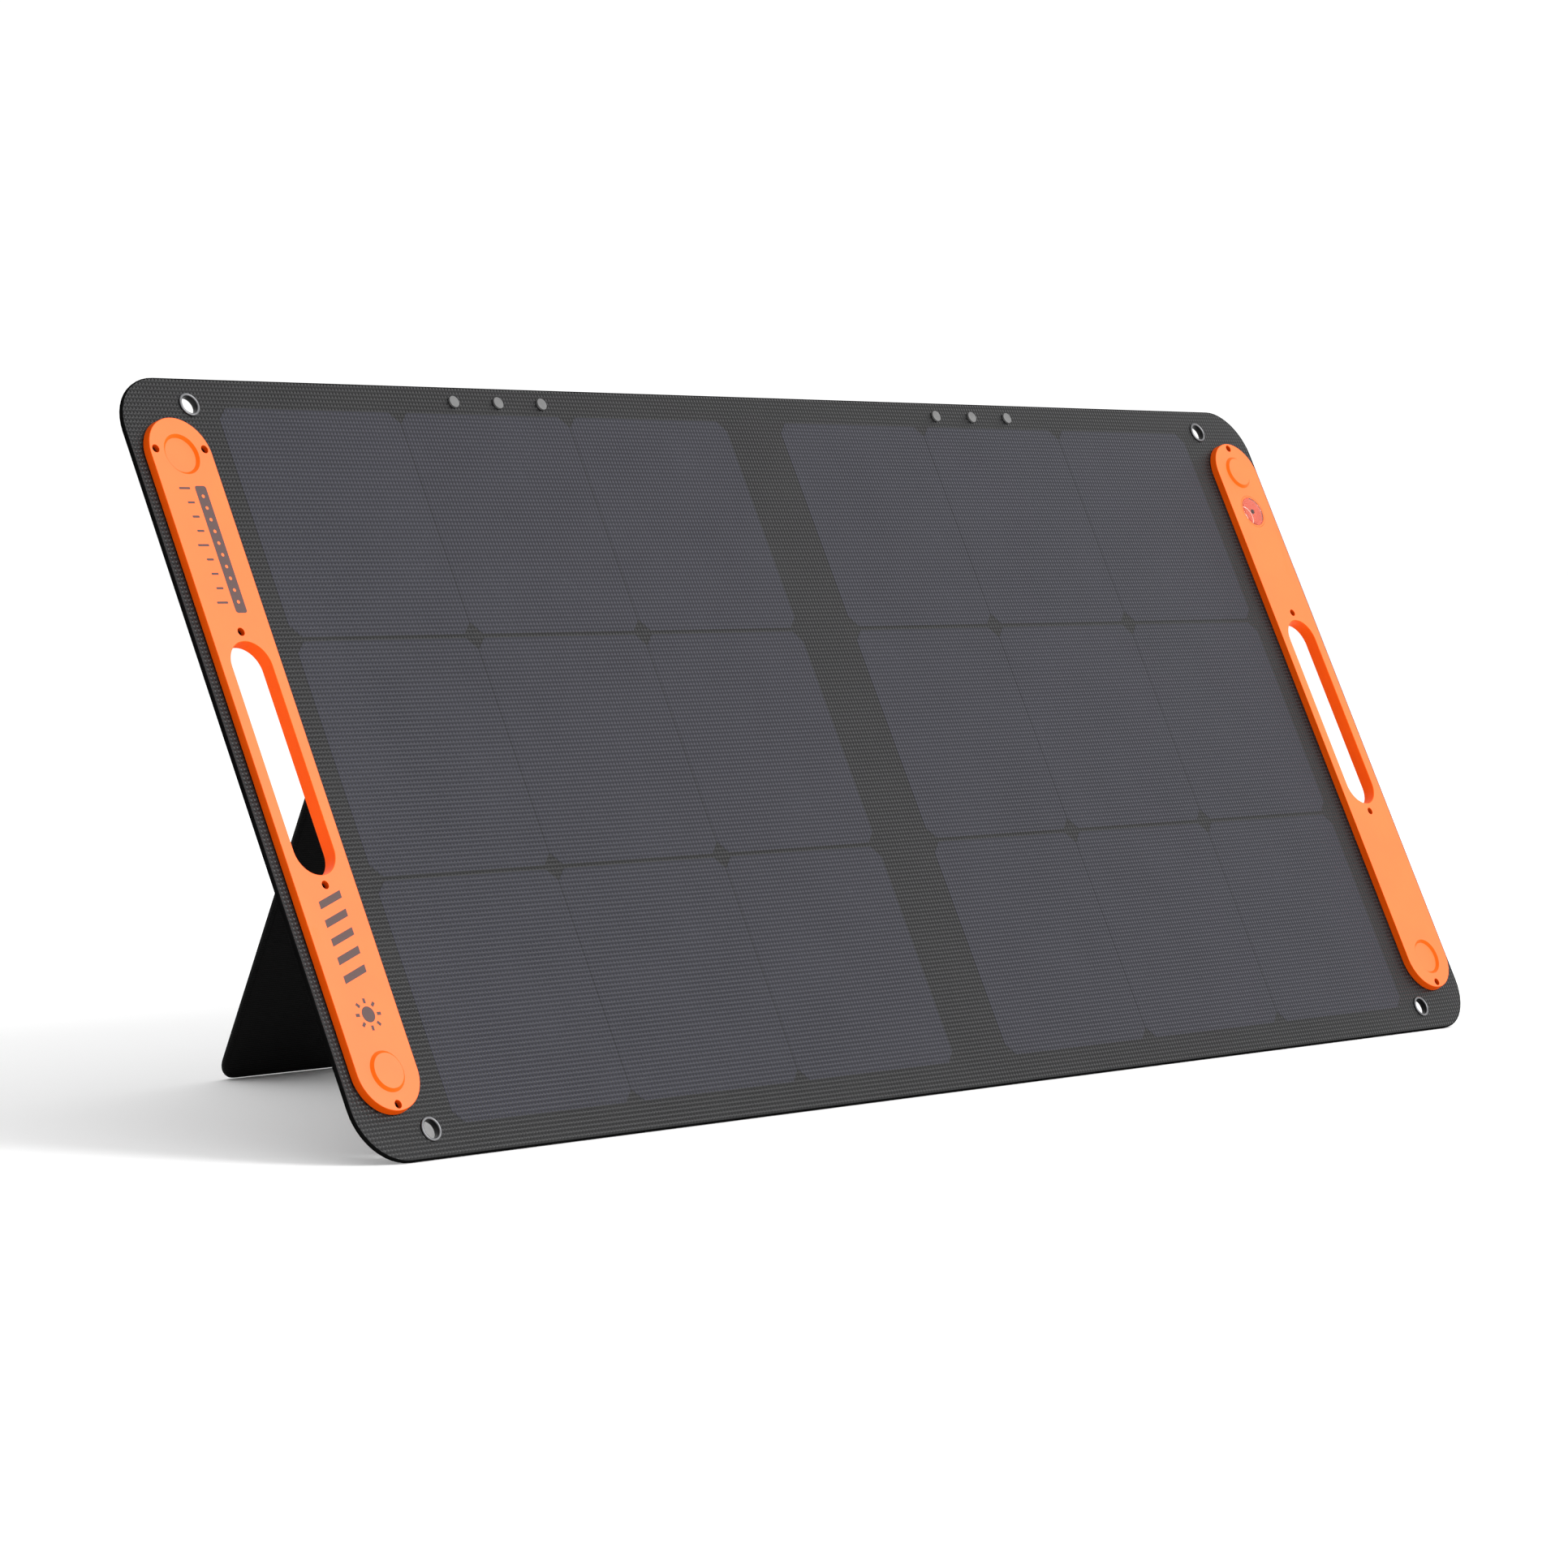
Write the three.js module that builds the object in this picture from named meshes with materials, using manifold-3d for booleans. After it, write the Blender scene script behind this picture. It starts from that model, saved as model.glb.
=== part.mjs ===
// Folding solar panel on two kickstands: two rigid halves joined by a soft fold, a handle bar on
// each outer edge, and a pocket with the output box on the back. Millimetres, +Z up.
// Front faces -Y, +X runs along the width. Origin: bottom centre of the whole object's box.
import * as THREE from 'three';
import { mergeVertices } from 'three/addons/utils/BufferGeometryUtils.js';
import Module from 'manifold-3d';

const wasm = await Module();
wasm.setup();

// ---------- driving dimensions ----------
// Panel frame: x across, y up the slope from the bottom edge, z out of the front face.
const PANEL = { width: 1220, height: 542, corner: 38, lean: 25.81 };
const FOLD_AXES = 12.4;           // distance between the two fold lines
const FIT = 0.3;                  // clearance between neighbouring pieces
const PAST = 1;                   // cuts and joined lumps run this far past the face they start at
const THROUGH = [-10, 10];        // a cut through every layer of the panel
const SKIN_INSET = 1;             // laminate and rear fabric stop this far inside the board
// Layers as [back, front] heights.
const LAMINATE = [-0.5, 0];
const CELLS = [-1.2, -0.8];
const BOARD = [-2.8, -0.8];
const FABRIC = [-3.6, -3.1];
const BOARD_TO_AXIS = 3;          // the stiff board stops this far before its fold line

const CELL = { size: 164.8, gapX: 0.6, gapY: 3, cut: 8.3, firstX: 29.6 };
const RIBBON = { width: 5, thick: 0.2, overlap: 1 };
const HANDLE = { width: 52.2, length: 478.5, inset: 36, front: 5.7, collarBack: -4.5, collarWall: 1.6 };
const HANDLE_REAR = [-5.7, -3.9];
const SLOT = { width: 34.3, length: 161.2 };
const MAGNET = { radius: 11, thick: 2.8, seat: 11.4, cap: 1.2 };
// Discs on the handles: radius where each meets the front face, and how much it narrows.
const BOSS = { radius: 13.8, rise: 1.7, taper: 2 };
const RECESS = { radius: 14.3, depth: 1.7, taper: 2 };
const SCREW = { bore: 2.8, head: 2.5, headTop: 2.7, headBottom: 1.4, shank: 1.5, end: -5.3 };
const SCREW_BESIDE_SLOT = 87.4;   // from mid-height
const SCREW_AT_END = 235;
const SCREW_PAIR = { x: 20.9, y: 216.8 };
const SUN_DIAL = {
  y: 178.2, well: 13.9, bezel: 13.6, window: 12.4, face: 12.1, pin: 1.3,
  floor: 2.6, faceTop: 5, glass: [5.3, 5.9], rim: 5.95, pinTop: 6.2,
};
const GROMMET = {
  inset: 62, fromEdge: 19.2, flange: 8.3, flangeTop: 1.3, chamfer: 0.6, bore: 6.1, barrel: 6.8,
  flareFrom: -2.6, mouth: 6.8, lip: 8.6, lipSpan: [-4.7, -3.9],
};
const RIVET = {
  fromTop: 11.8, pitch: 43.2, head: 4.3, headTop: 1.9, shank: 2, tail: 3.7, tailEnd: -6.4,
};
const STAND = {
  centre: 260, width: 130, thick: 4, wall: 0.8, lean: 24.35, fromTop: 18, corner: 15,
  sleeveTop: -1, coreTop: -3,
};
const STAND_AXIS_Z = -4.1;
const STRAP = { width: 120, back: -4.9, front: -3.9, low: 526, high: 537.5, corner: 4 };
const POCKET = {
  x: 437, y: 200, width: 185, height: 210, back: -19.9, front: -3.9, wall: 1.2, corner: 14,
};
const ZIP = { y: 280, length: 150, width: 7, travel: 134, proud: 0.2, deep: 1 };
const BOX = {
  x: 437, y: 160, width: 84, height: 64, back: -17.1, front: -3.9, wall: 1.5, split: -10.6, corner: 6,
};

const MID = PANEL.height / 2;
const HALF_W = PANEL.width / 2;
const AXIS_X = FOLD_AXES / 2;
const DEG = Math.PI / 180;
const DISC_Y = (HANDLE.length - HANDLE.width) / 2;
const STAND_HINGE_Y = PANEL.height - STAND.fromTop;

// ---------- colours and finishes ----------
const finish = (color, roughness, metalness = 0) =>
  new THREE.MeshStandardMaterial({ color, roughness, metalness });
const LAMINATE_GREY = finish(0x414141, 0.45);
const CELL_BLUE = finish(0x50505a, 0.35);
const BOARD_GREY = finish(0x2a2a2c, 0.7);
const CLOTH_BLACK = finish(0x191919, 0.9);
const ORANGE = finish(0xff8c4a, 0.5);
const STEEL = finish(0xb8b8b8, 0.25, 1);
const GREY_METAL = finish(0x8a8a8a, 0.45, 1);
const BLACK_STEEL = finish(0x1c1c1c, 0.4, 1);
const MAGNET_GREY = finish(0x909090, 0.3, 1);
const SALMON = finish(0xf4806e, 0.5);
const CLEAR = finish(0xf4f4f4, 0.05);
const BLACK_PLASTIC = finish(0x202020, 0.5);
const CIRCUIT_GREEN = finish(0x1f5c38, 0.6);

// ---------- outlines ----------
function stadium(x, y, width, length) {
  const radius = width / 2;
  const straight = (length - width) / 2;
  return new THREE.Shape()
    .absarc(x, y + straight, radius, 0, Math.PI)
    .absarc(x, y - straight, radius, Math.PI, 2 * Math.PI)
    .closePath();
}

// Rectangle with its own radius at each corner: [low left, low right, high right, high left].
function rounded(x0, y0, x1, y1, [lowLeft, lowRight, highRight, highLeft]) {
  const shape = new THREE.Shape();
  const corner = (x, y, radius, start) => {
    const angle = start * DEG;
    shape.lineTo(x + radius * Math.cos(angle), y + radius * Math.sin(angle));
    if (radius) shape.absarc(x, y, radius, angle, angle + Math.PI / 2);
  };
  shape.moveTo(x0, y1 - highLeft);
  corner(x0 + lowLeft, y0 + lowLeft, lowLeft, 180);
  corner(x1 - lowRight, y0 + lowRight, lowRight, 270);
  corner(x1 - highRight, y1 - highRight, highRight, 0);
  corner(x0 + highLeft, y1 - highLeft, highLeft, 90);
  return shape.closePath();
}

// ---------- solids ----------
function slab(shape, [back, front], segments = 10) {
  const depth = front - back;
  const geometry = new THREE.ExtrudeGeometry(shape, { depth, bevelEnabled: false, curveSegments: segments });
  return geometry.translate(0, 0, back);
}

function block(x0, x1, y0, y1, z0, z1) {
  const geometry = new THREE.BoxGeometry(x1 - x0, y1 - y0, z1 - z0);
  return geometry.translate((x0 + x1) / 2, (y0 + y1) / 2, (z0 + z1) / 2);
}

function disc(x, y, radius, [back, front], segments = 20, frontRadius = radius) {
  const geometry = new THREE.CylinderGeometry(frontRadius, radius, front - back, segments);
  return geometry.rotateX(Math.PI / 2).translate(x, y, (back + front) / 2);
}

// Turned piece about the panel's normal through (x, y); profile points are [radius, height].
function turned(x, y, profile, segments) {
  const points = profile.map(([radius, height]) => new THREE.Vector2(radius, height));
  return new THREE.LatheGeometry(points, segments).rotateX(Math.PI / 2).translate(x, y, 0);
}

function toManifold(geometry) {
  const bare = geometry.clone();
  bare.deleteAttribute('normal');
  bare.deleteAttribute('uv');
  const merged = mergeVertices(bare, 1e-4);
  const vertProperties = new Float32Array(merged.attributes.position.array);
  const triVerts = new Uint32Array(merged.index.array);
  return new wasm.Manifold(new wasm.Mesh({ numProp: 3, vertProperties, triVerts }));
}

function toGeometry(manifold) {
  const mesh = manifold.getMesh();
  const geometry = new THREE.BufferGeometry();
  geometry.setAttribute('position', new THREE.BufferAttribute(new Float32Array(mesh.vertProperties), 3));
  geometry.setIndex(new THREE.BufferAttribute(new Uint32Array(mesh.triVerts), 1));
  const flat = geometry.toNonIndexed();
  flat.computeVertexNormals();
  return flat;
}

function combine(base, { add = [], cut = [] }) {
  let solid = toManifold(base);
  for (const geometry of add) solid = solid.add(toManifold(geometry));
  for (const geometry of cut) solid = solid.subtract(toManifold(geometry));
  return toGeometry(solid);
}

function mesh(name, geometry, material) {
  const piece = new THREE.Mesh(geometry, material);
  piece.name = name;
  return piece;
}

// ---------- places ----------
const SIDES = [{ name: 'left', sign: -1 }, { name: 'right', sign: 1 }];
const handleX = (sign) => sign * (HALF_W - HANDLE.inset);
const rivetPlaces = (sign) => [-1, 0, 1].map((step) =>
  [sign * STAND.centre + step * RIVET.pitch, PANEL.height - RIVET.fromTop]);
const grommetPlaces = (sign) => [
  [sign * (HALF_W - GROMMET.inset), PANEL.height - GROMMET.fromEdge],
  [sign * (HALF_W - GROMMET.inset), GROMMET.fromEdge]];

// Left handle: two screws beside its upper disc. Right handle: one above its upper disc.
function screwPlaces(sign) {
  const x = handleX(sign);
  const top = sign < 0
    ? [[x - SCREW_PAIR.x, MID + SCREW_PAIR.y], [x + SCREW_PAIR.x, MID + SCREW_PAIR.y]]
    : [[x, MID + SCREW_AT_END]];
  const column = [SCREW_BESIDE_SLOT, -SCREW_BESIDE_SLOT, -SCREW_AT_END].map((dy) => [x, MID + dy]);
  return [...top, ...column];
}

// The discs nest when the panel folds: raised ones meet recesses.
function discPlaces(sign) {
  return [
    { name: 'upper', x: handleX(sign), y: MID + DISC_Y, raised: sign > 0 },
    { name: 'lower', x: handleX(sign), y: MID - DISC_Y, raised: sign < 0 }];
}

// ---------- panel halves ----------
// Outline of one half's layer, from the fold side to the outer edge, drawn back by `inset`.
function halfOutline(sign, inset, foldSide) {
  const radius = PANEL.corner - inset;
  const outer = sign * (HALF_W - inset);
  const inner = sign * foldSide;
  const radii = sign < 0 ? [radius, 0, 0, radius] : [0, radius, radius, 0];
  return rounded(Math.min(outer, inner), inset, Math.max(outer, inner), PANEL.height - inset, radii);
}

// Every layer is pierced for the hand slot, grommets, rivets, screws and the recessed magnet.
function piercings(sign) {
  const clearance = 2 * (HANDLE.collarWall + FIT);
  const slot = stadium(handleX(sign), MID, SLOT.width + clearance, SLOT.length + clearance);
  const seats = discPlaces(sign).filter(({ raised }) => !raised);
  return [
    slab(slot, THROUGH, 6),
    ...seats.map(({ x, y }) => disc(x, y, MAGNET.seat, THROUGH, 14)),
    ...grommetPlaces(sign).map(([x, y]) => disc(x, y, GROMMET.barrel + FIT, THROUGH, 12)),
    ...rivetPlaces(sign).map(([x, y]) => disc(x, y, RIVET.shank + FIT, THROUGH, 6)),
    ...screwPlaces(sign).map(([x, y]) => disc(x, y, SCREW.shank + FIT, THROUGH, 6))];
}

function frontLaminate({ name, sign }) {
  const sheet = slab(halfOutline(sign, SKIN_INSET, AXIS_X + FIT), LAMINATE, 7);
  return mesh(`${name}_front_laminate`, combine(sheet, { cut: piercings(sign) }), LAMINATE_GREY);
}

// One string of nine cells, joined by pairs of flat ribbons across the gaps.
function cellString({ name, sign }) {
  const { size, gapX, gapY, cut, firstX } = CELL;
  const lowY = MID - 1.5 * size - gapY;
  const pieces = [];
  for (let column = 0; column < 3; column += 1) {
    for (let row = 0; row < 3; row += 1) {
      const x = sign * (firstX + size / 2 + column * (size + gapX));
      const y = lowY + size / 2 + row * (size + gapY);
      pieces.push(cell(x, y, size, cut));
      for (const offset of [-size / 4, size / 4]) {
        if (row < 2) pieces.push(ribbon(x + offset, y + (size + gapY) / 2, RIBBON.width, gapY));
        if (column < 2) {
          pieces.push(ribbon(x + sign * (size + gapX) / 2, y + offset, gapX, RIBBON.width));
        }
      }
    }
  }
  return mesh(`${name}_cell_string`, combine(pieces[0], { add: pieces.slice(1) }), CELL_BLUE);
}

// Ribbon centred on a gap; its short side across the gap runs on into both cells.
function ribbon(x, y, acrossX, acrossY) {
  const halfX = acrossX / 2 + (acrossX < RIBBON.width ? RIBBON.overlap : 0);
  const halfY = acrossY / 2 + (acrossY < RIBBON.width ? RIBBON.overlap : 0);
  return block(x - halfX, x + halfX, y - halfY, y + halfY, CELLS[0], CELLS[0] + RIBBON.thick);
}

function cell(x, y, size, cut) {
  const half = size / 2;
  const near = half - cut;
  const shape = new THREE.Shape();
  const corners = [[half, near], [near, half], [-near, half], [-half, near],
    [-half, -near], [-near, -half], [near, -half], [half, -near]];
  shape.setFromPoints(corners.map(([dx, dy]) => new THREE.Vector2(x + dx, y + dy)));
  return slab(shape, CELLS);
}

function backingBoard({ name, sign }) {
  const plate = slab(halfOutline(sign, 0, AXIS_X + BOARD_TO_AXIS), BOARD, 7);
  const { size, gapX, gapY, firstX } = CELL;
  const near = firstX - FIT;
  const far = firstX + 3 * size + 2 * gapX + FIT;
  const halfY = 1.5 * size + gapY + FIT;
  const tray = block(Math.min(sign * near, sign * far), Math.max(sign * near, sign * far),
    MID - halfY, MID + halfY, CELLS[0] - FIT, PAST);
  return mesh(`${name}_backing_board`, combine(plate, { cut: [tray, ...piercings(sign)] }), BOARD_GREY);
}

function rearFabric({ name, sign }) {
  const sheet = slab(halfOutline(sign, SKIN_INSET, AXIS_X + FIT), FABRIC, 7);
  return mesh(`${name}_rear_fabric`, combine(sheet, { cut: piercings(sign) }), CLOTH_BLACK);
}

// Soft strip between the two fold lines: laminate in front, fabric behind.
function foldStrip(name, layer, material) {
  const edge = AXIS_X - FIT;
  return mesh(name, block(-edge, edge, SKIN_INSET, PANEL.height - SKIN_INSET, ...layer), material);
}

// ---------- handles ----------
function handleFront({ name, sign }) {
  const x = handleX(sign);
  const outer = stadium(x, MID, HANDLE.width, HANDLE.length);
  outer.holes.push(stadium(x, MID, SLOT.width, SLOT.length));
  const collar = stadium(x, MID, SLOT.width + 2 * HANDLE.collarWall, SLOT.length + 2 * HANDLE.collarWall);
  collar.holes.push(stadium(x, MID, SLOT.width, SLOT.length));
  const add = [slab(collar, [HANDLE.collarBack, PAST])];
  const cut = [];
  for (const place of discPlaces(sign)) {
    if (place.raised) {
      const { radius, rise, taper } = BOSS;
      const top = HANDLE.front + rise;
      const span = [HANDLE.front - rise, top];
      add.push(disc(place.x, place.y, radius + taper, span, 20, radius - taper));
      cut.push(disc(place.x, place.y, MAGNET.seat, [-PAST, top - MAGNET.cap], 16));
    } else {
      const { radius, depth, taper } = RECESS;
      const span = [HANDLE.front - depth, HANDLE.front + depth];
      cut.push(disc(place.x, place.y, radius - taper, span, 20, radius + taper));
    }
  }
  const above = HANDLE.front + PAST;
  for (const [sx, sy] of screwPlaces(sign)) {
    cut.push(disc(sx, sy, SCREW.bore, [SCREW.headBottom - FIT, above], 10));
    cut.push(disc(sx, sy, SCREW.shank + FIT, [-PAST, SCREW.headBottom], 8));
  }
  if (sign > 0) cut.push(disc(x, MID + SUN_DIAL.y, SUN_DIAL.well, [SUN_DIAL.floor, above]));
  return mesh(`${name}_handle_front`, combine(slab(outer, [FIT, HANDLE.front], 10), { add, cut }), ORANGE);
}

function handleRear({ name, sign }) {
  const x = handleX(sign);
  const clearance = 2 * (HANDLE.collarWall + FIT);
  const shape = stadium(x, MID, HANDLE.width, HANDLE.length);
  shape.holes.push(stadium(x, MID, SLOT.width + clearance, SLOT.length + clearance));
  const sockets = screwPlaces(sign).map(([sx, sy]) =>
    disc(sx, sy, SCREW.shank + FIT, [SCREW.end - FIT / 2, 0], 8));
  return mesh(`${name}_handle_rear`, combine(slab(shape, HANDLE_REAR, 8), { cut: sockets }), BLACK_PLASTIC);
}

function handleScrew(name, x, y) {
  const { head, headTop, headBottom, shank, end } = SCREW;
  const profile = [[0, end], [shank, end], [shank, headBottom], [head, headBottom],
    [head, headTop], [0, headTop]];
  return mesh(name, turned(x, y, profile, 8), BLACK_STEEL);
}

// A raised disc has its magnet under its own cap; a recess has it below, in the panel.
function handleMagnet(name, { x, y, raised }) {
  const top = raised ? HANDLE.front + BOSS.rise - MAGNET.cap - FIT : 0;
  const span = [top - MAGNET.thick, top];
  return mesh(name, disc(x, y, MAGNET.radius, span, 14), MAGNET_GREY);
}

function sunDial() {
  const x = handleX(1);
  const y = MID + SUN_DIAL.y;
  const seat = SUN_DIAL.floor + FIT;
  const { bezel, window, face, pin, faceTop, glass, rim, pinTop } = SUN_DIAL;
  const eye = pin + FIT;
  const ring = [[window, seat], [bezel, seat], [bezel, rim], [window, rim], [window, seat]];
  const pane = [[eye, glass[0]], [face, glass[0]], [face, glass[1]], [eye, glass[1]], [eye, glass[0]]];
  return [
    mesh('sun_dial_bezel', turned(x, y, ring, 18), ORANGE),
    mesh('sun_dial_face', disc(x, y, face, [seat, faceTop], 18), SALMON),
    mesh('sun_dial_window', turned(x, y, pane, 18), CLEAR),
    mesh('sun_dial_pin', disc(x, y, pin, [glass[0], pinTop], 8), BLACK_PLASTIC)];
}

// ---------- fasteners ----------
// Eyelet: front flange, barrel through the panel and a rolled lip behind, flared at its mouth.
function grommet(name, x, y) {
  const { flange, flangeTop, chamfer, bore, barrel, flareFrom, mouth, lip, lipSpan } = GROMMET;
  const profile = [[bore, flareFrom], [mouth, lipSpan[0]], [lip, lipSpan[0]], [lip, lipSpan[1]],
    [barrel, lipSpan[1]], [barrel, FIT], [flange, FIT], [flange - chamfer, flangeTop],
    [bore, flangeTop], [bore, flareFrom]];
  return mesh(name, turned(x, y, profile, 14), STEEL);
}

function rivet(name, x, y) {
  const { head, headTop, shank, tail, tailEnd } = RIVET;
  const seat = STRAP.back - FIT;
  const profile = [[0, tailEnd], [tail, tailEnd], [tail, seat], [shank, seat], [shank, FIT],
    [head, FIT], [head, headTop], [0, headTop]];
  return mesh(name, turned(x, y, profile, 8), GREY_METAL);
}

// ---------- kickstands ----------
function hingeStrap({ name, sign }) {
  const { width, low, high, back, front, corner } = STRAP;
  const x = sign * STAND.centre;
  const shape = rounded(x - width / 2, low, x + width / 2, high, [0, 0, corner, corner]);
  const holes = rivetPlaces(sign).map(([rx, ry]) => disc(rx, ry, RIVET.shank + FIT, THROUGH, 8));
  return mesh(`${name}_hinge_strap`, combine(slab(shape, [back, front], 6), { cut: holes }), CLOTH_BLACK);
}

// Height of the hinge above the ground, from the panel's lean and its lowest edge.
const lean = PANEL.lean * DEG;
const groundLift = -BOARD[0] * Math.sin(lean);
const hingeHeight = groundLift + STAND_HINGE_Y * Math.cos(lean) + STAND_AXIS_Z * Math.sin(lean);
const standLength = hingeHeight / Math.cos(STAND.lean * DEG);

// Drawn closed, hanging down from the hinge at the origin, with its inner face on z = 0.
function standOutline(inset, mouth) {
  const half = STAND.width / 2 - inset;
  const radius = STAND.corner - inset;
  return rounded(-half, -standLength + inset, half, mouth, [radius, radius, 0, 0]);
}

function stand({ name, sign }) {
  const { thick, wall, sleeveTop, coreTop } = STAND;
  const sleeve = combine(slab(standOutline(0, sleeveTop), [-thick, 0], 5), {
    cut: [slab(standOutline(wall, sleeveTop + PAST), [wall - thick, -wall], 5)],
  });
  const core = slab(standOutline(wall + FIT, coreTop), [wall + FIT - thick, -wall - FIT], 5);
  const group = new THREE.Group();
  group.add(mesh(`${name}_stand_sleeve`, sleeve, CLOTH_BLACK), mesh(`${name}_stand_core`, core, BOARD_GREY));
  group.position.set(sign * STAND.centre, STAND_HINGE_Y, STAND_AXIS_Z);
  group.rotation.x = (PANEL.lean + STAND.lean) * DEG;
  return group;
}

// ---------- rear pocket and output box ----------
// Rectangle about (x, y) with equal corners, drawn in by `inset`.
function boxOutline({ x, y, width, height, corner }, inset) {
  return rounded(x - width / 2 + inset, y - height / 2 + inset,
    x + width / 2 - inset, y + height / 2 - inset, Array(4).fill(corner - inset));
}

function pocket() {
  const { back, front, wall } = POCKET;
  const mouth = block(POCKET.x - ZIP.length / 2, POCKET.x + ZIP.length / 2,
    ZIP.y - ZIP.width / 2, ZIP.y + ZIP.width / 2, back - PAST, back + wall + PAST);
  const shell = combine(slab(boxOutline(POCKET, 0), [back, front], 6), {
    cut: [slab(boxOutline(POCKET, wall), [back + wall, front + PAST], 6), mouth],
  });
  return mesh('rear_pocket', shell, CLOTH_BLACK);
}

function zipChain() {
  const halfLength = ZIP.length / 2 - FIT;
  const halfWidth = ZIP.width / 2 - FIT;
  return mesh('pocket_zip', block(POCKET.x - halfLength, POCKET.x + halfLength,
    ZIP.y - halfWidth, ZIP.y + halfWidth, POCKET.back - ZIP.proud, POCKET.back + ZIP.deep), BLACK_PLASTIC);
}

// Slider at the closed end of the zip, with two ears that hold the pull between them.
const SLIDER = {
  x: POCKET.x + ZIP.travel / 2, halfX: 4.5, halfY: 6, back: POCKET.back - 3.1, front: POCKET.back - 0.5,
  pivot: 1.7,
};
const EAR = { x: 2.9, halfX: 0.6, halfY: 1.5, height: 2.6, root: 0.5 };
// Heights below are measured down from the pivot.
const PULL = {
  halfThick: 0.6, neck: 1.9, neckTop: 0.9, neckEnd: -6, paddle: 3.5, paddleTop: -5, tip: -26,
  corner: 3, shoulder: 1,
};

function zipSlider() {
  const { x, halfX, halfY, back, front } = SLIDER;
  const base = block(x - halfX, x + halfX, ZIP.y - halfY, ZIP.y + halfY, back, front);
  const ears = [-EAR.x, EAR.x].map((dx) => block(x + dx - EAR.halfX, x + dx + EAR.halfX,
    ZIP.y - EAR.halfY, ZIP.y + EAR.halfY, back - EAR.height, back + EAR.root));
  return mesh('zip_slider', combine(base, { add: ears }), GREY_METAL);
}

// Drawn along the slope from its pivot at the origin, then turned to hang straight down.
function zipPull() {
  const { halfThick, neck, neckTop, neckEnd, paddle, paddleTop, tip, corner, shoulder } = PULL;
  const stem = block(-neck, neck, neckEnd, neckTop, -halfThick, halfThick);
  const radii = [corner, corner, shoulder, shoulder];
  const blade = slab(rounded(-paddle, tip, paddle, paddleTop, radii), [-halfThick, halfThick], 3);
  const piece = mesh('zip_pull', combine(stem, { add: [blade] }), BLACK_PLASTIC);
  piece.position.set(SLIDER.x, ZIP.y, SLIDER.back - SLIDER.pivot);
  piece.rotation.x = lean;
  return piece;
}

const USB_A = { x: BOX.x - 16, width: 14.5, depth: 14, back: -13.4, front: -7.7, wall: 0.5 };
const USB_C = { x: BOX.x + 14, width: 9, depth: 9, back: -10.9, front: -7.7, wall: 0.4 };
const SOCKET = { sunk: 0.5, floor: 2 };
const CIRCUIT = [-7.4, -6.2];
// Lengths along the gland run up from the box's lower wall.
const GLAND = {
  z: -11.6, hole: 3.5, nut: 3.9, nutTop: 4, flange: 5, neck: 3.2, bore: 2.2, end: -9, endRadius: 4,
};
const BOX_TOP = BOX.y + BOX.height / 2;
const BOX_LOW = BOX.y - BOX.height / 2;

function socketCut({ x, width, back, front }) {
  return block(x - width / 2 - FIT, x + width / 2 + FIT, BOX_TOP - BOX.wall - PAST, BOX_TOP + PAST,
    back - FIT, front + FIT);
}

function outputBox() {
  const { back, front, wall, split } = BOX;
  const glandHole = new THREE.CylinderGeometry(GLAND.hole, GLAND.hole, 2 * (wall + PAST), 12)
    .translate(BOX.x, BOX_LOW + wall / 2, GLAND.z);
  const cuts = [socketCut(USB_A), socketCut(USB_C), glandHole];
  const base = combine(slab(boxOutline(BOX, 0), [split + FIT / 2, front], 4), {
    cut: [slab(boxOutline(BOX, wall), [split - PAST, front - wall], 4), ...cuts],
  });
  const cover = combine(slab(boxOutline(BOX, 0), [back, split - FIT / 2], 4), {
    cut: [slab(boxOutline(BOX, wall), [back + wall, split + PAST], 4), ...cuts],
  });
  const circuit = slab(boxOutline(BOX, wall + PAST), CIRCUIT, 4);
  return [
    mesh('output_box_base', base, BLACK_PLASTIC),
    mesh('output_box_cover', cover, BLACK_PLASTIC),
    mesh('output_circuit_board', circuit, CIRCUIT_GREEN),
    socketShell('usb_a_socket', USB_A), socketShell('usb_c_socket', USB_C), cableGland()];
}

// Open-fronted metal shell facing up the slope, standing on the circuit board.
function socketShell(name, { x, width, depth, back, front, wall }) {
  const half = width / 2;
  const top = BOX_TOP - SOCKET.sunk;
  const mouth = block(x - half + wall, x + half - wall, top - depth + SOCKET.floor, top + PAST,
    back + wall, front - wall);
  const outside = block(x - half, x + half, top - depth, top, back, front);
  return mesh(name, combine(outside, { cut: [mouth] }), STEEL);
}

// Round gland in the lower wall, with a through bore for the output lead.
function cableGland() {
  const { z, bore, neck, nut, nutTop, flange, end, endRadius } = GLAND;
  const inside = BOX.wall + FIT;
  const profile = [[bore, end], [endRadius, end], [flange, -FIT], [neck, -FIT], [neck, inside],
    [nut, inside], [nut, nutTop], [bore, nutTop], [bore, end]];
  const points = profile.map(([radius, height]) => new THREE.Vector2(radius, height));
  const body = new THREE.LatheGeometry(points, 14).translate(BOX.x, BOX_LOW, z);
  return mesh('cable_gland', body, BLACK_PLASTIC);
}

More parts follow.
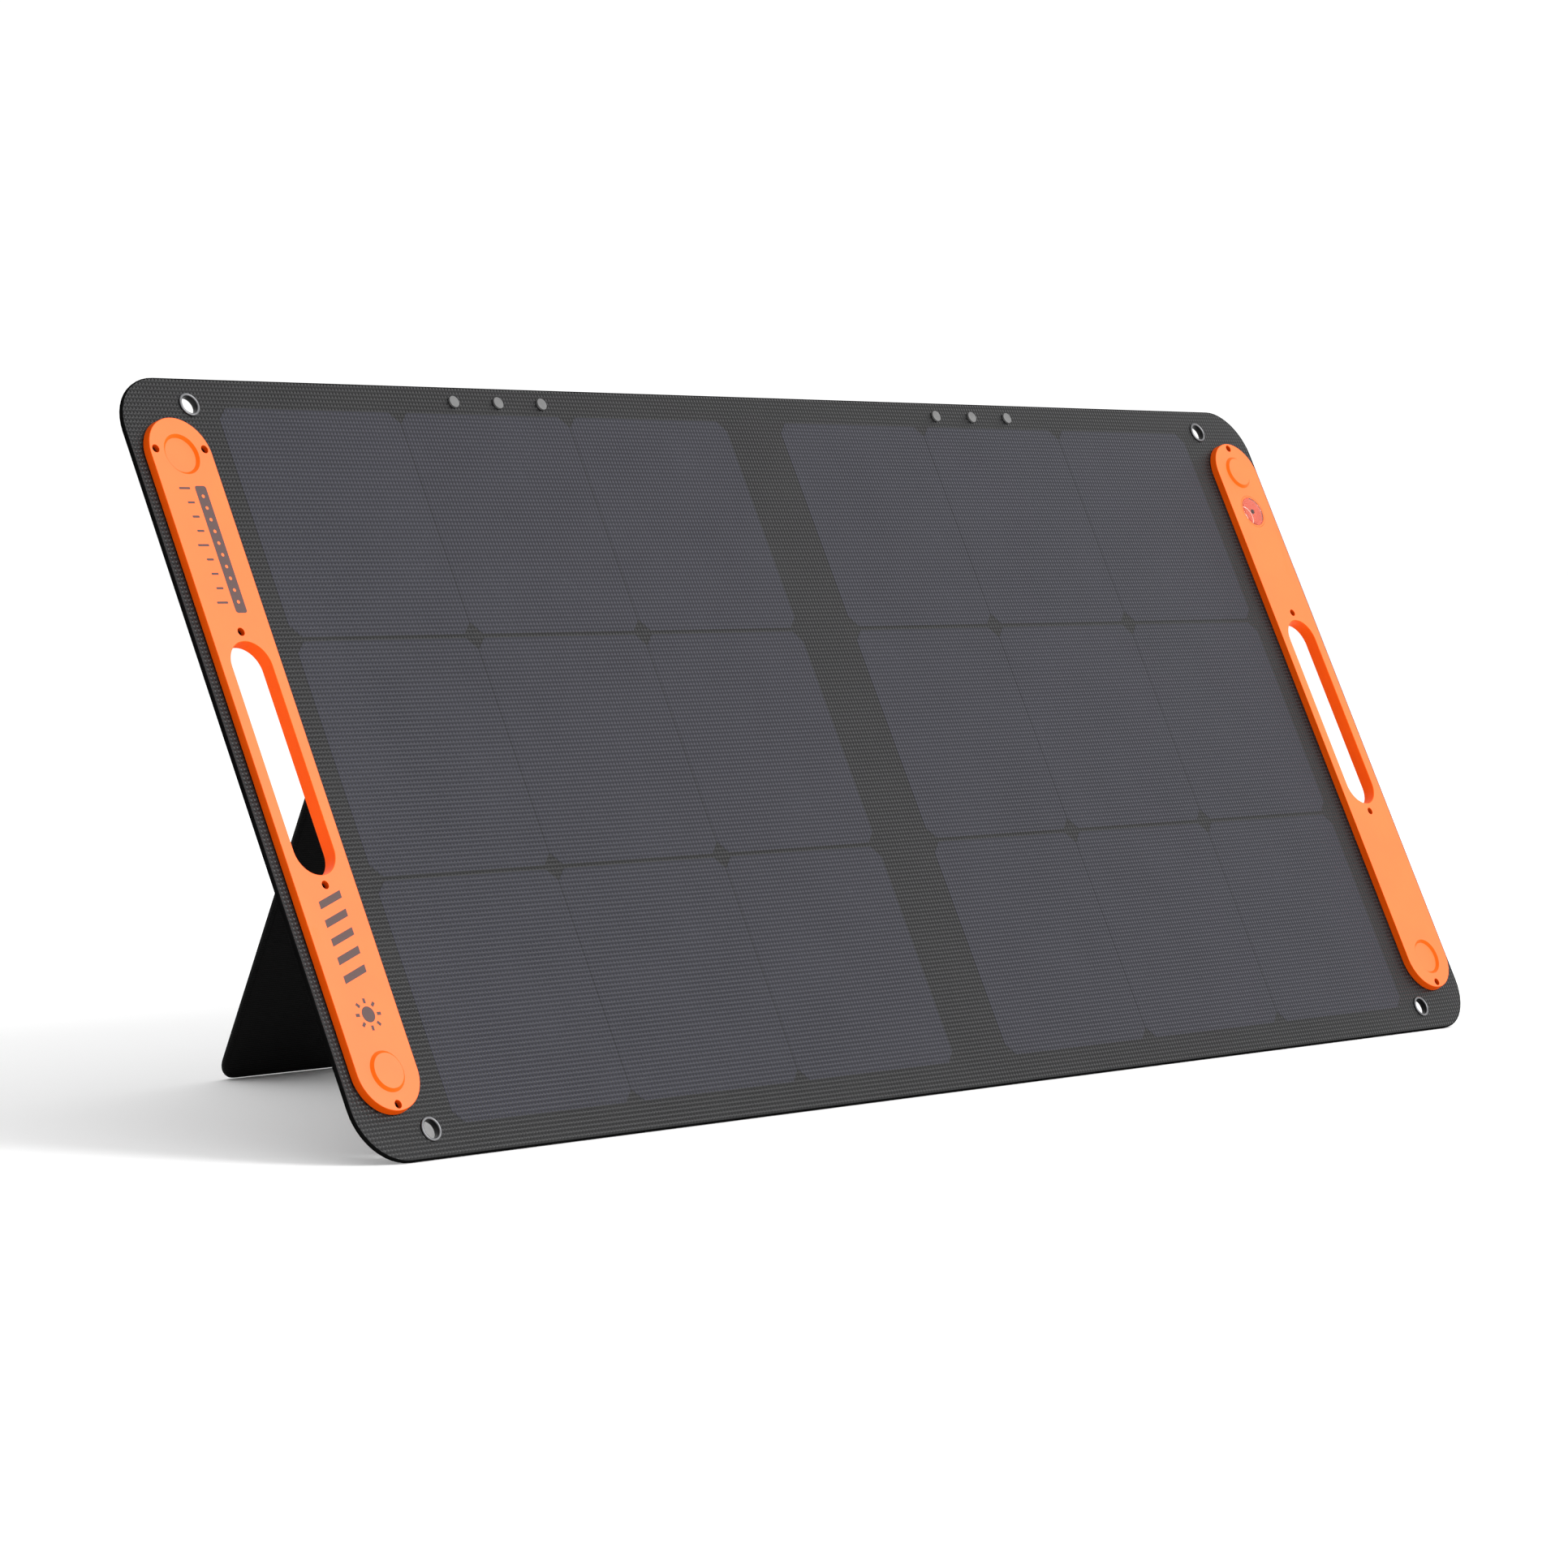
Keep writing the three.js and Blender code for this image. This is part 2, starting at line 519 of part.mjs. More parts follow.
// ---------- assembly ----------
const panel = new THREE.Group();
for (const side of SIDES) {
  const { name, sign } = side;
  panel.add(frontLaminate(side), cellString(side), backingBoard(side), rearFabric(side));
  panel.add(handleFront(side), handleRear(side), hingeStrap(side), stand(side));
  for (const place of discPlaces(sign)) panel.add(handleMagnet(`${name}_${place.name}_magnet`, place));
  screwPlaces(sign).forEach(([x, y], i) => panel.add(handleScrew(`${name}_handle_screw_${i + 1}`, x, y)));
  rivetPlaces(sign).forEach(([x, y], i) => panel.add(rivet(`${name}_rivet_${i + 1}`, x, y)));
  const [upper, lower] = grommetPlaces(sign);
  panel.add(grommet(`${name}_upper_grommet`, ...upper), grommet(`${name}_lower_grommet`, ...lower));
}
panel.add(foldStrip('fold_front_laminate', LAMINATE, LAMINATE_GREY));
panel.add(foldStrip('fold_rear_fabric', FABRIC, CLOTH_BLACK));
panel.add(...sunDial(), pocket(), zipChain(), zipSlider(), zipPull(), ...outputBox());

// Lean the panel back and stand its lower back edge and both feet on the ground.
panel.rotation.x = Math.PI / 2 - lean;
panel.position.z = groundLift;

const group = new THREE.Group();
group.add(panel);
const extent = new THREE.Box3().setFromObject(group, true);
panel.position.y = -(extent.min.y + extent.max.y) / 2;
group.updateMatrixWorld(true);

export default group;
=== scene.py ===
"""Visual model of a folding solar panel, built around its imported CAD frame.

Lengths are millimetres in the panel's own frame (x across, y up the slope from the bottom edge,
z out of the front face) until a piece is made, where they become metres.
"""

import math
import random

import bmesh
import bpy
from mathutils import Matrix, Vector
from mathutils.geometry import delaunay_2d_cdt


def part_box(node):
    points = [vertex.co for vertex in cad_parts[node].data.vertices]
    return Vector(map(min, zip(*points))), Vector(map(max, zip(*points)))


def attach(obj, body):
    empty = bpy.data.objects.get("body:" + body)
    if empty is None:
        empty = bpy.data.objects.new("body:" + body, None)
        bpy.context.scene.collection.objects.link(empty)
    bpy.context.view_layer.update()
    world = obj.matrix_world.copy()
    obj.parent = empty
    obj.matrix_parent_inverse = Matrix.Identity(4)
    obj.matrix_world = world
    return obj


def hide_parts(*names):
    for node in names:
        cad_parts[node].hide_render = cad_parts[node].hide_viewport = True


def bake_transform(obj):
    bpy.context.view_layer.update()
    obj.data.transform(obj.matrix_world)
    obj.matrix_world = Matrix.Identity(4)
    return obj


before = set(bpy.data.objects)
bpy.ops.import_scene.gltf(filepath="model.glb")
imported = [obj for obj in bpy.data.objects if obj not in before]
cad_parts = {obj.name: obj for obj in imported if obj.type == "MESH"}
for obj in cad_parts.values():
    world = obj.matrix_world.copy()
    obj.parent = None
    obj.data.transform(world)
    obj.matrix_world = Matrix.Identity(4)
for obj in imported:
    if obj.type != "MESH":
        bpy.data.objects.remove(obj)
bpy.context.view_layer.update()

MM = 0.001
TAU = 2 * math.pi
EMBOSS = 3.0  # pitch of the film's grid
SIDES = (("left", -1), ("right", 1))

# ---------- sizes shared with the CAD frame ----------
WIDTH, HEIGHT, CORNER = 1220, 542, 38
HALF, MID = WIDTH / 2, HEIGHT / 2
LEAN = math.radians(25.81)
STAND_OPEN = math.radians(50.16)
AXIS_X = 6.2
BOARD_BACK, BOARD_FRONT = -2.8, -0.8
HANDLE_X, HANDLE_W, HANDLE_L, HANDLE_TOP = 574, 52.2, 478.5, 5.7
SLOT_W, SLOT_L, COLLAR_WALL, COLLAR_BACK = 34.3, 161.2, 1.6, -4.5
DISC_Y = (HANDLE_L - HANDLE_W) / 2
BOSS_R, RECESS_R, DISC_STEP, DISC_TAPER = 13.8, 14.3, 1.7, 2.0
CELL, GAP_X, GAP_Y, CUT, FIRST_X = 164.8, 0.6, 3, 8.3, 29.6
GROMMET_X, GROMMET_Y = 548, 19.2
STAND_X, STAND_Y, STAND_Z, STAND_W, STAND_L = 260, 524, -4.1, 130, 517.17
POCKET_X, POCKET_Y, POCKET_W, POCKET_H = 437, 200, 185, 210
POCKET_BACK, POCKET_FRONT = -19.9, -3.9
ZIP_Y, SLIDER_X = 280, 504
DIAL_Y = MID + 178.2
CELL_RISE = 0.12  # how far the film stands up over a cell
SKIN = 0.5  # thickness of the film and of the back cloth
BACK_FACE = -3.6
COLLAR_ROOM = 3.8  # how much wider than the hand slot the layers are cut
MAGNET_SEAT_R, EYELET_HOLE_R, SCREW_HOLE_R, RIVET_HOLE_R = 11.4, 7.1, 1.8, 2.3
SCREW_DOWN, SCREW_END, SCREW_PAIR = 87.4, 235, (20.9, 216.8)
RIVET_STEP, RIVET_DOWN = 43.2, 11.8
BEND_REACH = 3  # the skins bend this far to each side of a fold line
BOX_Y, BOX_REACH, BOX_CLEAR = 160, (46, 37), -17.9
POUCH_SEWN = -4.08

# The panel's frame in the row frame: leaned back, lowest back edge on the ground.
board_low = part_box("left_backing_board")[0]
PLACE = Matrix.Translation((
    0,
    board_low.y + BOARD_FRONT * MM * math.cos(LEAN),
    board_low.z - BOARD_BACK * MM * math.sin(LEAN),
)) @ Matrix.Rotation(math.pi / 2 - LEAN, 4, "X")


# ---------- node materials ----------
class Shade:
    """A Principled material built from a few procedural patterns, all in millimetres."""

    def __init__(self, name, source="rest"):
        self.material = bpy.data.materials.new(name)
        self.material.use_nodes = True
        self.tree = self.material.node_tree
        self.tree.nodes.clear()
        self.shader = self.tree.nodes.new("ShaderNodeBsdfPrincipled")
        output = self.tree.nodes.new("ShaderNodeOutputMaterial")
        self.tree.links.new(self.shader.outputs[0], output.inputs[0])
        if source == "rest":
            node = self.tree.nodes.new("ShaderNodeAttribute")
            node.attribute_name = "rest"
            self.place = node.outputs["Vector"]
        else:
            node = self.tree.nodes.new("ShaderNodeTexCoord")
            self.place = self.vector("SCALE", node.outputs["Object"], scale=1 / MM)

    def put(self, node, inputs):
        for key, value in inputs.items():
            if isinstance(value, bpy.types.NodeSocket):
                self.tree.links.new(value, node.inputs[key])
            else:
                node.inputs[key].default_value = value
        return node

    def set(self, **values):
        names = {key.replace("_", " "): value for key, value in values.items()}
        self.put(self.shader, names)
        return self

    def math(self, operation, *values, clamp=False):
        node = self.tree.nodes.new("ShaderNodeMath")
        node.operation, node.use_clamp = operation, clamp
        return self.put(node, dict(enumerate(values))).outputs[0]

    def vector(self, operation, *values, scale=None):
        node = self.tree.nodes.new("ShaderNodeVectorMath")
        node.operation = operation
        self.put(node, dict(enumerate(values)))
        if scale is not None:
            node.inputs["Scale"].default_value = scale
        return node.outputs["Value" if operation in ("LENGTH", "DOT_PRODUCT") else "Vector"]

    def axes(self):
        node = self.tree.nodes.new("ShaderNodeSeparateXYZ")
        self.tree.links.new(self.place, node.inputs[0])
        return node.outputs

    def noise(self, size, detail=3, stretch=(1, 1, 1)):
        """Noise of about that grain size in millimetres, 0 to 1."""
        scaled = self.vector("MULTIPLY", self.place, stretch)
        node = self.tree.nodes.new("ShaderNodeTexNoise")
        return self.put(node, {"Vector": scaled, "Scale": 1 / size, "Detail": detail}).outputs["Fac"]

    def spread(self, value, low, high, to_low=0.0, to_high=1.0):
        node = self.tree.nodes.new("ShaderNodeMapRange")
        ends = {"Value": value, "From Min": low, "From Max": high, "To Min": to_low, "To Max": to_high}
        return self.put(node, ends).outputs[0]

    def mix(self, factor, first, second):
        node = self.tree.nodes.new("ShaderNodeMix")
        node.data_type = "RGBA"
        self.tree.links.new(factor, node.inputs["Factor"])
        for socket, value in ((node.inputs[6], first), (node.inputs[7], second)):
            if isinstance(value, bpy.types.NodeSocket):
                self.tree.links.new(value, socket)
            else:
                socket.default_value = value
        return node.outputs[2]

    def bump(self, height, depth, strength=1.0, under=None):
        """Relief of that depth in millimetres, on top of another relief if given."""
        node = self.tree.nodes.new("ShaderNodeBump")
        self.put(node, {"Height": height, "Distance": depth * MM, "Strength": strength})
        if under is not None:
            self.tree.links.new(under, node.inputs["Normal"])
        return node.outputs[0]

    def wave(self, along, pitch):
        """A smooth ripple from 0 to 1 along one axis."""
        turned = self.math("MULTIPLY", along, TAU / pitch)
        return self.math("MULTIPLY_ADD", self.math("COSINE", turned), 0.5, 0.5)


def rgb(red, green, blue):
    """Linear colour from display values of 0 to 255."""
    def linear(value):
        value /= 255
        return value / 12.92 if value <= 0.04045 else ((value + 0.055) / 1.055) ** 2.4
    return (linear(red), linear(green), linear(blue), 1)


def embossed_film(name, low, high):
    """Laminate film with a square grid of upright raised dashes, with a painted highlight on one side of each
    and painted shade on the other.
    """
    shade = Shade(name)
    x, y, _ = shade.axes()
    # The sine across x paints a highlight on one side of each dash and shade on the other.
    side = shade.math("SINE", shade.math("MULTIPLY", x, TAU / EMBOSS))
    row = shade.math("COSINE", shade.math("MULTIPLY", y, TAU / EMBOSS))
    painted_dash_shading = shade.math("MULTIPLY", side, shade.math("MULTIPLY_ADD", row, 0.8, 1.0))
    painted_dash_light = shade.spread(shade.math("MULTIPLY_ADD", row, 0.4, painted_dash_shading), -1.4, 2.2)
    patch = shade.noise(60, 2)
    tone = shade.math("MULTIPLY_ADD", shade.math("SUBTRACT", patch, 0.5), 0.12, painted_dash_light, clamp=True)
    dots = shade.math("MULTIPLY", shade.wave(x, EMBOSS), shade.wave(y, EMBOSS))
    relief = shade.bump(shade.noise(0.35, 2), 0.02, 0.4, under=shade.bump(dots, 0.35, 0.7))
    shade.set(Base_Color=shade.mix(tone, low, high), Roughness=shade.spread(patch, 0.3, 0.7, 0.22, 0.28))
    shade.set(Specular_IOR_Level=0.13, Normal=relief)
    return shade.material


def moulded(name, colour, darker, roughness=0.42, grain=0.5, depth=0.02, source="rest", gloss=0.5):
    """Moulded plastic with a fine spark-eroded grain and faint scuffs."""
    shade = Shade(name, source)
    cloud = shade.noise(35, 3)
    scuff = shade.spread(shade.noise(9, 5, (1, 0.25, 1)), 0.62, 0.75)
    relief = shade.bump(shade.noise(grain, 3), depth, 0.6)
    shade.set(Base_Color=shade.mix(shade.spread(cloud, 0.35, 0.65), colour, darker))
    shade.set(Roughness=shade.math("MULTIPLY_ADD", scuff, 0.12, roughness))
    shade.set(Normal=relief, Specular_IOR_Level=gloss)
    return shade.material


def woven(name, low, high, pitch=0.9, rib=None, roughness=0.85, sheen=0.15, source="rest", gloss=0.25):
    """Woven cloth: crossing yarns, or ribs along x when `rib` is given."""
    shade = Shade(name, source)
    x, y, z = shade.axes()
    if rib:
        yarn = shade.wave(y, rib)
        fine = shade.wave(x, pitch)
        weave = shade.math("MULTIPLY_ADD", fine, 0.35, shade.math("MULTIPLY", yarn, 0.65))
    else:
        across = shade.math("SINE", shade.math("MULTIPLY", x, TAU / pitch))
        along = shade.math("SINE", shade.math("MULTIPLY", shade.math("ADD", y, z), TAU / pitch))
        weave = shade.math("MULTIPLY_ADD", shade.math("MULTIPLY", across, along), 0.5, 0.5)
    fuzz = shade.noise(0.3, 4)
    fade = shade.noise(80, 3)
    tone = shade.math("MULTIPLY_ADD", shade.math("SUBTRACT", fade, 0.5), 0.5, weave, clamp=True)
    relief = shade.bump(fuzz, 0.05, 0.4, under=shade.bump(weave, 0.25, 0.8))
    shade.set(Base_Color=shade.mix(tone, low, high), Roughness=roughness, Sheen_Weight=sheen)
    shade.set(Normal=relief, Specular_IOR_Level=gloss)
    return shade.material


def metal(name, colour, worn, roughness=0.25, grain=(1, 1, 1), size=1.2, metallic=1.0, source="rest"):
    """Plated or brushed metal with a slight tarnish."""
    shade = Shade(name, source)
    lines = shade.noise(size, 4, grain)
    tarnish = shade.spread(shade.noise(6, 4), 0.4, 0.7)
    shade.set(Base_Color=shade.mix(tarnish, colour, worn), Metallic=metallic)
    shade.set(Roughness=shade.math("MULTIPLY_ADD", lines, 0.16, roughness - 0.08))
    shade.set(Normal=shade.bump(lines, 0.01, 0.4))
    return shade.material


def eyelet_steel(name, bright, dull, inside):
    """Nickel plating, patchy between bright and dull, on both rolled rims; down inside the barrel the colour
    is painted dark as shade.
    """
    shade = Shade(name)
    _, _, z = shade.axes()
    # Inside the barrel the colour is painted dark as shade; the rims keep the plating colour.
    rim = shade.math("MAXIMUM", shade.spread(z, 0.5, 1.1), shade.spread(z, -3.6, -4.4))
    lines = shade.noise(1.2, 4)
    plating = shade.mix(shade.spread(shade.noise(6, 4), 0.4, 0.7), bright, dull)
    shade.set(Base_Color=shade.mix(rim, inside, plating), Metallic=0.9)
    shade.set(Roughness=shade.math("MULTIPLY_ADD", lines, 0.16, 0.34))
    shade.set(Normal=shade.bump(lines, 0.01, 0.4))
    return shade.material


# Flat ink, used for real print and also for painted glare and painted shadow lines.
def ink_and_painted_light(name, colour, thin):
    shade = Shade(name)
    speck = shade.noise(0.5, 4)
    shade.set(Base_Color=shade.mix(shade.spread(speck, 0.45, 0.8), colour, thin), Roughness=0.55)
    shade.set(Normal=shade.bump(speck, 0.01, 0.4))
    return shade.material


def clear_window(name):
    shade = Shade(name)
    smear = shade.noise(5, 3)
    shade.set(Base_Color=(1, 1, 1, 1), Roughness=shade.spread(smear, 0.4, 0.7, 0.02, 0.08))
    shade.set(Transmission_Weight=1.0, IOR=1.2)
    return shade.material


def solar_cell(name):
    """Dark silicon with thin silver fingers, under the film."""
    shade = Shade(name, "object")
    x, _, _ = shade.axes()
    fingers = shade.spread(shade.wave(x, 1.6), 0.96, 0.99)
    cloud = shade.noise(25, 3)
    silicon = shade.mix(cloud, rgb(30, 32, 52), rgb(44, 46, 70))
    shade.set(Base_Color=shade.mix(fingers, silicon, rgb(150, 150, 155)), Roughness=0.3)
    shade.set(Normal=shade.bump(fingers, 0.02, 0.6))
    return shade.material


def circuit_board(name):
    """Green solder mask over copper tracks."""
    shade = Shade(name, "object")
    x, y, _ = shade.axes()
    tracks = shade.math("MAXIMUM", shade.wave(x, 5.0), shade.wave(y, 7.0))
    edge = shade.spread(tracks, 0.9, 0.93)
    shade.set(Base_Color=shade.mix(edge, rgb(20, 70, 40), rgb(36, 104, 58)), Roughness=0.35)
    shade.set(Normal=shade.bump(edge, 0.04, 0.8))
    return shade.material


# The low colours are the painted shade on the dashes' dark sides, the high colours their painted highlights.
FILM_BORDER = embossed_film("film_border", rgb(0, 0, 0), rgb(54, 54, 55))
FILM_EDGE = moulded("film_edge", rgb(14, 14, 14), rgb(10, 10, 10), 0.8, gloss=0.0)
FILM_CELL = embossed_film("film_cell", rgb(22, 22, 26), rgb(60, 60, 69))
ORANGE = moulded("handle_orange", rgb(250, 103, 20), rgb(248, 100, 18))
# Darker orange for the handle's outer sides and sunk wells: painted shade.
ORANGE_PAINTED_SHADE = moulded("handle_orange_painted_shade", rgb(224, 80, 2), rgb(218, 76, 2), gloss=0.06)
# Deeper orange for the slot wall and the disc cones: painted shade, lighter than on the outer sides.
ORANGE_WALL_PAINTED_SHADE = moulded("handle_orange_wall_painted_shade", rgb(249, 92, 6), rgb(246, 88, 4), gloss=0.08)
# Mauve print on the left bar; the same colour paints the shadow line round the dial's rim.
INK_AND_PAINTED_SHADOW = ink_and_painted_light("print_and_painted_shadow_mauve", rgb(64, 36, 33), rgb(78, 44, 36))
CLOTH = woven("back_cloth", rgb(16, 16, 17), rgb(40, 40, 42))
STAND_CLOTH = woven("stand_cloth", rgb(8, 8, 8), rgb(27, 27, 27), pitch=1.2, rib=1.6, sheen=0.02, gloss=0.08)
ZIP_TAPE = woven("zip_tape", rgb(10, 10, 11), rgb(30, 30, 32), pitch=0.6)
THREAD = woven("thread", rgb(40, 40, 42), rgb(84, 84, 86), pitch=0.3)
BOARD = moulded("board_core", rgb(44, 44, 46), rgb(36, 36, 38), 0.7, 1.5, 0.05)
# Its third colour is the painted shade inside the barrel.
STEEL = eyelet_steel("grommet_steel", rgb(112, 112, 114), rgb(98, 98, 100), rgb(34, 34, 35))
RIVET_GREY = metal("rivet_grey", rgb(96, 96, 96), rgb(88, 88, 88), 0.6, metallic=0.1)
BLACK_STEEL = metal("black_screw", rgb(34, 34, 35), rgb(52, 50, 48), 0.35)
MAGNET = metal("magnet_plating", rgb(170, 170, 174), rgb(150, 150, 150), 0.2)
SALMON = moulded("dial_salmon", rgb(200, 78, 50), rgb(194, 74, 47), 0.5, gloss=0.2)
# Whitish colour of the glare arcs on the dial: painted reflection.
PAINTED_GLARE = ink_and_painted_light("dial_painted_glare", rgb(236, 210, 200), rgb(224, 190, 178))
CLEAR = clear_window("clear_window")
BLACK_PLASTIC = moulded("black_plastic", rgb(34, 34, 35), rgb(26, 26, 27), 0.5)
PIN_BROWN = moulded("pin_brown", rgb(44, 22, 18), rgb(36, 18, 15), 0.5)
SLIDER_METAL = metal("slider_metal", rgb(70, 70, 72), rgb(96, 94, 92), 0.35)


# ---------- outlines: each returns its loop grown by so many millimetres ----------
def circle(x, y, radius, count=40):
    def loop(grow=0.0):
        r = radius + grow
        return [(x + r * math.cos(TAU * i / count), y + r * math.sin(TAU * i / count)) for i in range(count)]
    return loop


def rounded(x0, y0, x1, y1, radii, count=8):
    """Rectangle with its own radius at each corner: low left, low right, high right, high left."""
    corners = ((x0, y0, 1, 1), (x1, y0, -1, 1), (x1, y1, -1, -1), (x0, y1, 1, -1))

    def loop(grow=0.0):
        points = []
        for i, ((x, y, inward_x, inward_y), radius) in enumerate(zip(corners, radii)):
            cx, cy, r = x + inward_x * radius, y + inward_y * radius, radius + grow
            for step in range(count + 1):
                angle = math.pi + (i + step / count) * math.pi / 2
                points.append((cx + r * math.cos(angle), cy + r * math.sin(angle)))
        return points
    return loop


def stadium(x, y, width, length, count=24):
    half_w, half_l = width / 2, length / 2

    def loop(grow=0.0):
        r, straight = half_w + grow, half_l - half_w
        ends = ((straight, 0.0), (-straight, math.pi))
        turns = [(dy, start + math.pi * i / count) for dy, start in ends for i in range(count + 1)]
        return [(x + r * math.cos(a), y + dy + r * math.sin(a)) for dy, a in turns]
    return loop


# Columns across the soft fold where the skins are cut finely enough to bend.
FOLD_COLUMNS = [0.9, 1.8, 2.7, 3.4, 4.0, 4.6, 5.2, 5.8, 6.4, 7.0, 7.6, 8.2, 8.8, 9.4, 10.2]


def half_outline(sign, start=0.0, columns=(), count=12):
    """One half, from the fold at x = start to the outer edge; only the three outer edges grow."""
    inner = [x for x in columns if x > start]

    def loop(grow=0.0):
        points = [(x, -grow) for x in [start, *inner]]
        for cy, angle0 in ((CORNER, -math.pi / 2), (HEIGHT - CORNER, 0.0)):
            for step in range(count + 1):
                angle = angle0 + step / count * math.pi / 2
                r = CORNER + grow
                points.append((HALF - CORNER + r * math.cos(angle), cy + r * math.sin(angle)))
        points += [(x, HEIGHT + grow) for x in reversed([start, *inner])]
        return [(sign * x, y) for x, y in points]
    return loop


# ---------- building closed pieces out of loops ----------
def inside(point, polygon):
    x, y = point
    hit = False
    for (x0, y0), (x1, y1) in zip(polygon, polygon[1:] + polygon[:1]):
        if (y0 > y) != (y1 > y) and x < (x1 - x0) * (y - y0) / (y1 - y0) + x0:
            hit = not hit
    return hit


class Build:
    """Walls run along loops through (grow, z) steps; flat faces join the loops that end on them."""

    def __init__(self):
        self.points, self.faces, self.marks = [], [], []
        self.ends = {}

    def ring(self, loop, grow, z):
        first = len(self.points)
        self.points += [(x, y, z) for x, y in loop(grow)]
        return list(range(first, len(self.points)))

    def face(self, corners, mark=0):
        self.faces.append(tuple(corners))
        self.marks.append(mark)

    def wall(self, loop, steps, start=None, end=None, mark=0, cap_mark=None):
        """start and end name the flat face that the wall's first and last loops bound, or "cap"."""
        rings = [self.ring(loop, grow, z) for grow, z in steps]
        for low, high in zip(rings, rings[1:]):
            for i in range(len(low)):
                j = (i + 1) % len(low)
                self.face((low[i], low[j], high[j], high[i]), mark)
        for name, ring in ((start, rings[0]), (end, rings[-1])):
            if name == "cap":
                self.face(ring, mark if cap_mark is None else cap_mark)
            elif name:
                self.ends.setdefault(name, []).append(ring)
        return self

    def flat(self, name, columns=(), mark=0):
        """Fills the flat face between its first loop and the loops inside it."""
        rings = self.ends[name]
        order = [i for ring in rings for i in ring]
        spots = [Vector(self.points[i][:2]) for i in order]
        edges, first = [], 0
        for ring in rings:
            edges += [(first + i, first + (i + 1) % len(ring)) for i in range(len(ring))]
            first += len(ring)
        for column in columns:
            ends = [i for i in range(len(rings[0])) if abs(abs(spots[i].x) - column) < 1e-4]
            if len(ends) == 2:
                edges.append(tuple(ends))
        found, _, triangles, origins, _, _ = delaunay_2d_cdt(spots, edges, [], 1, 1e-5)
        z = self.points[order[0]][2]
        index = []
        for spot, origin in zip(found, origins):
            if origin:
                index.append(order[origin[0]])
            else:
                index.append(len(self.points))
                self.points.append((spot.x, spot.y, z))
        holes = [[self.points[i][:2] for i in ring] for ring in rings[1:]]
        for triangle in triangles:
            centre = sum((found[i] for i in triangle), Vector((0, 0))) / 3
            if not any(inside(centre, hole) for hole in holes):
                self.face([index[i] for i in triangle], mark)
        return self

    def piece(self, name, materials, body=None, matrix=PLACE, sharp=32, weighted=False):
        return make(name, self.points, self.faces, materials, body, matrix, sharp, self.marks, weighted)


def make(name, points, faces, materials, body=None, matrix=PLACE, sharp=32, marks=None, weighted=False):
    """A mesh object from points in millimetres, with its rest coordinates kept for the materials."""
    data = bpy.data.meshes.new(name)
    data.from_pydata([Vector(p) * MM for p in points], [], faces)
    for material in materials if isinstance(materials, (list, tuple)) else [materials]:
        data.materials.append(material)
    if marks:
        data.polygons.foreach_set("material_index", marks)
    shaped = bmesh.new()
    shaped.from_mesh(data)
    bmesh.ops.remove_doubles(shaped, verts=shaped.verts, dist=1e-7)
    bmesh.ops.recalc_face_normals(shaped, faces=shaped.faces)
    shaped.to_mesh(data)
    shaped.free()
    data.shade_smooth()
    data.set_sharp_from_angle(angle=math.radians(sharp))
    keep_rest(data)
    piece = bpy.data.objects.new(name, data)
    bpy.context.scene.collection.objects.link(piece)
    piece.matrix_world = matrix
    if weighted:
        modifier = piece.modifiers.new("even_shading", "WEIGHTED_NORMAL")
        modifier.keep_sharp = True
    if body:
        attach(piece, body)
    return piece


def keep_rest(data):
    rest = data.attributes.get("rest") or data.attributes.new("rest", "FLOAT_VECTOR", "POINT")
    for item, vertex in zip(rest.data, data.vertices):
        item.vector = vertex.co / MM


def turned(name, x, y, profile, material, body, matrix=PLACE, count=40, sharp=32):
    """Turned piece about the panel's normal; profile points are (radius, height)."""
    points, faces, rings = [], [], []
    for radius, z in profile:
        if radius < 1e-6:
            rings.append([len(points)])
            points.append((x, y, z))
            continue
        rings.append(list(range(len(points), len(points) + count)))
        points += [(x + radius * math.cos(TAU * i / count), y + radius * math.sin(TAU * i / count), z)
                   for i in range(count)]
    closed = len(rings[0]) > 1 and len(rings[-1]) > 1
    for low, high in zip(rings, rings[1:] + rings[:1] if closed else rings[1:]):
        for i in range(count):
            j = (i + 1) % count
            corners = [low[i % len(low)], low[j % len(low)], high[j % len(high)], high[i % len(high)]]
            faces.append(tuple(dict.fromkeys(corners)))
    return make(name, points, faces, material, body, matrix, sharp)


def arc_steps(grow0, z0, grow1, z1, count=4):
    """Quarter-round from one (grow, z) to another; it leaves the first along the face."""
    turns = [i / count * math.pi / 2 for i in range(count + 1)]
    return [(grow0 + (grow1 - grow0) * math.sin(a), z0 + (z1 - z0) * (1 - math.cos(a))) for a in turns]


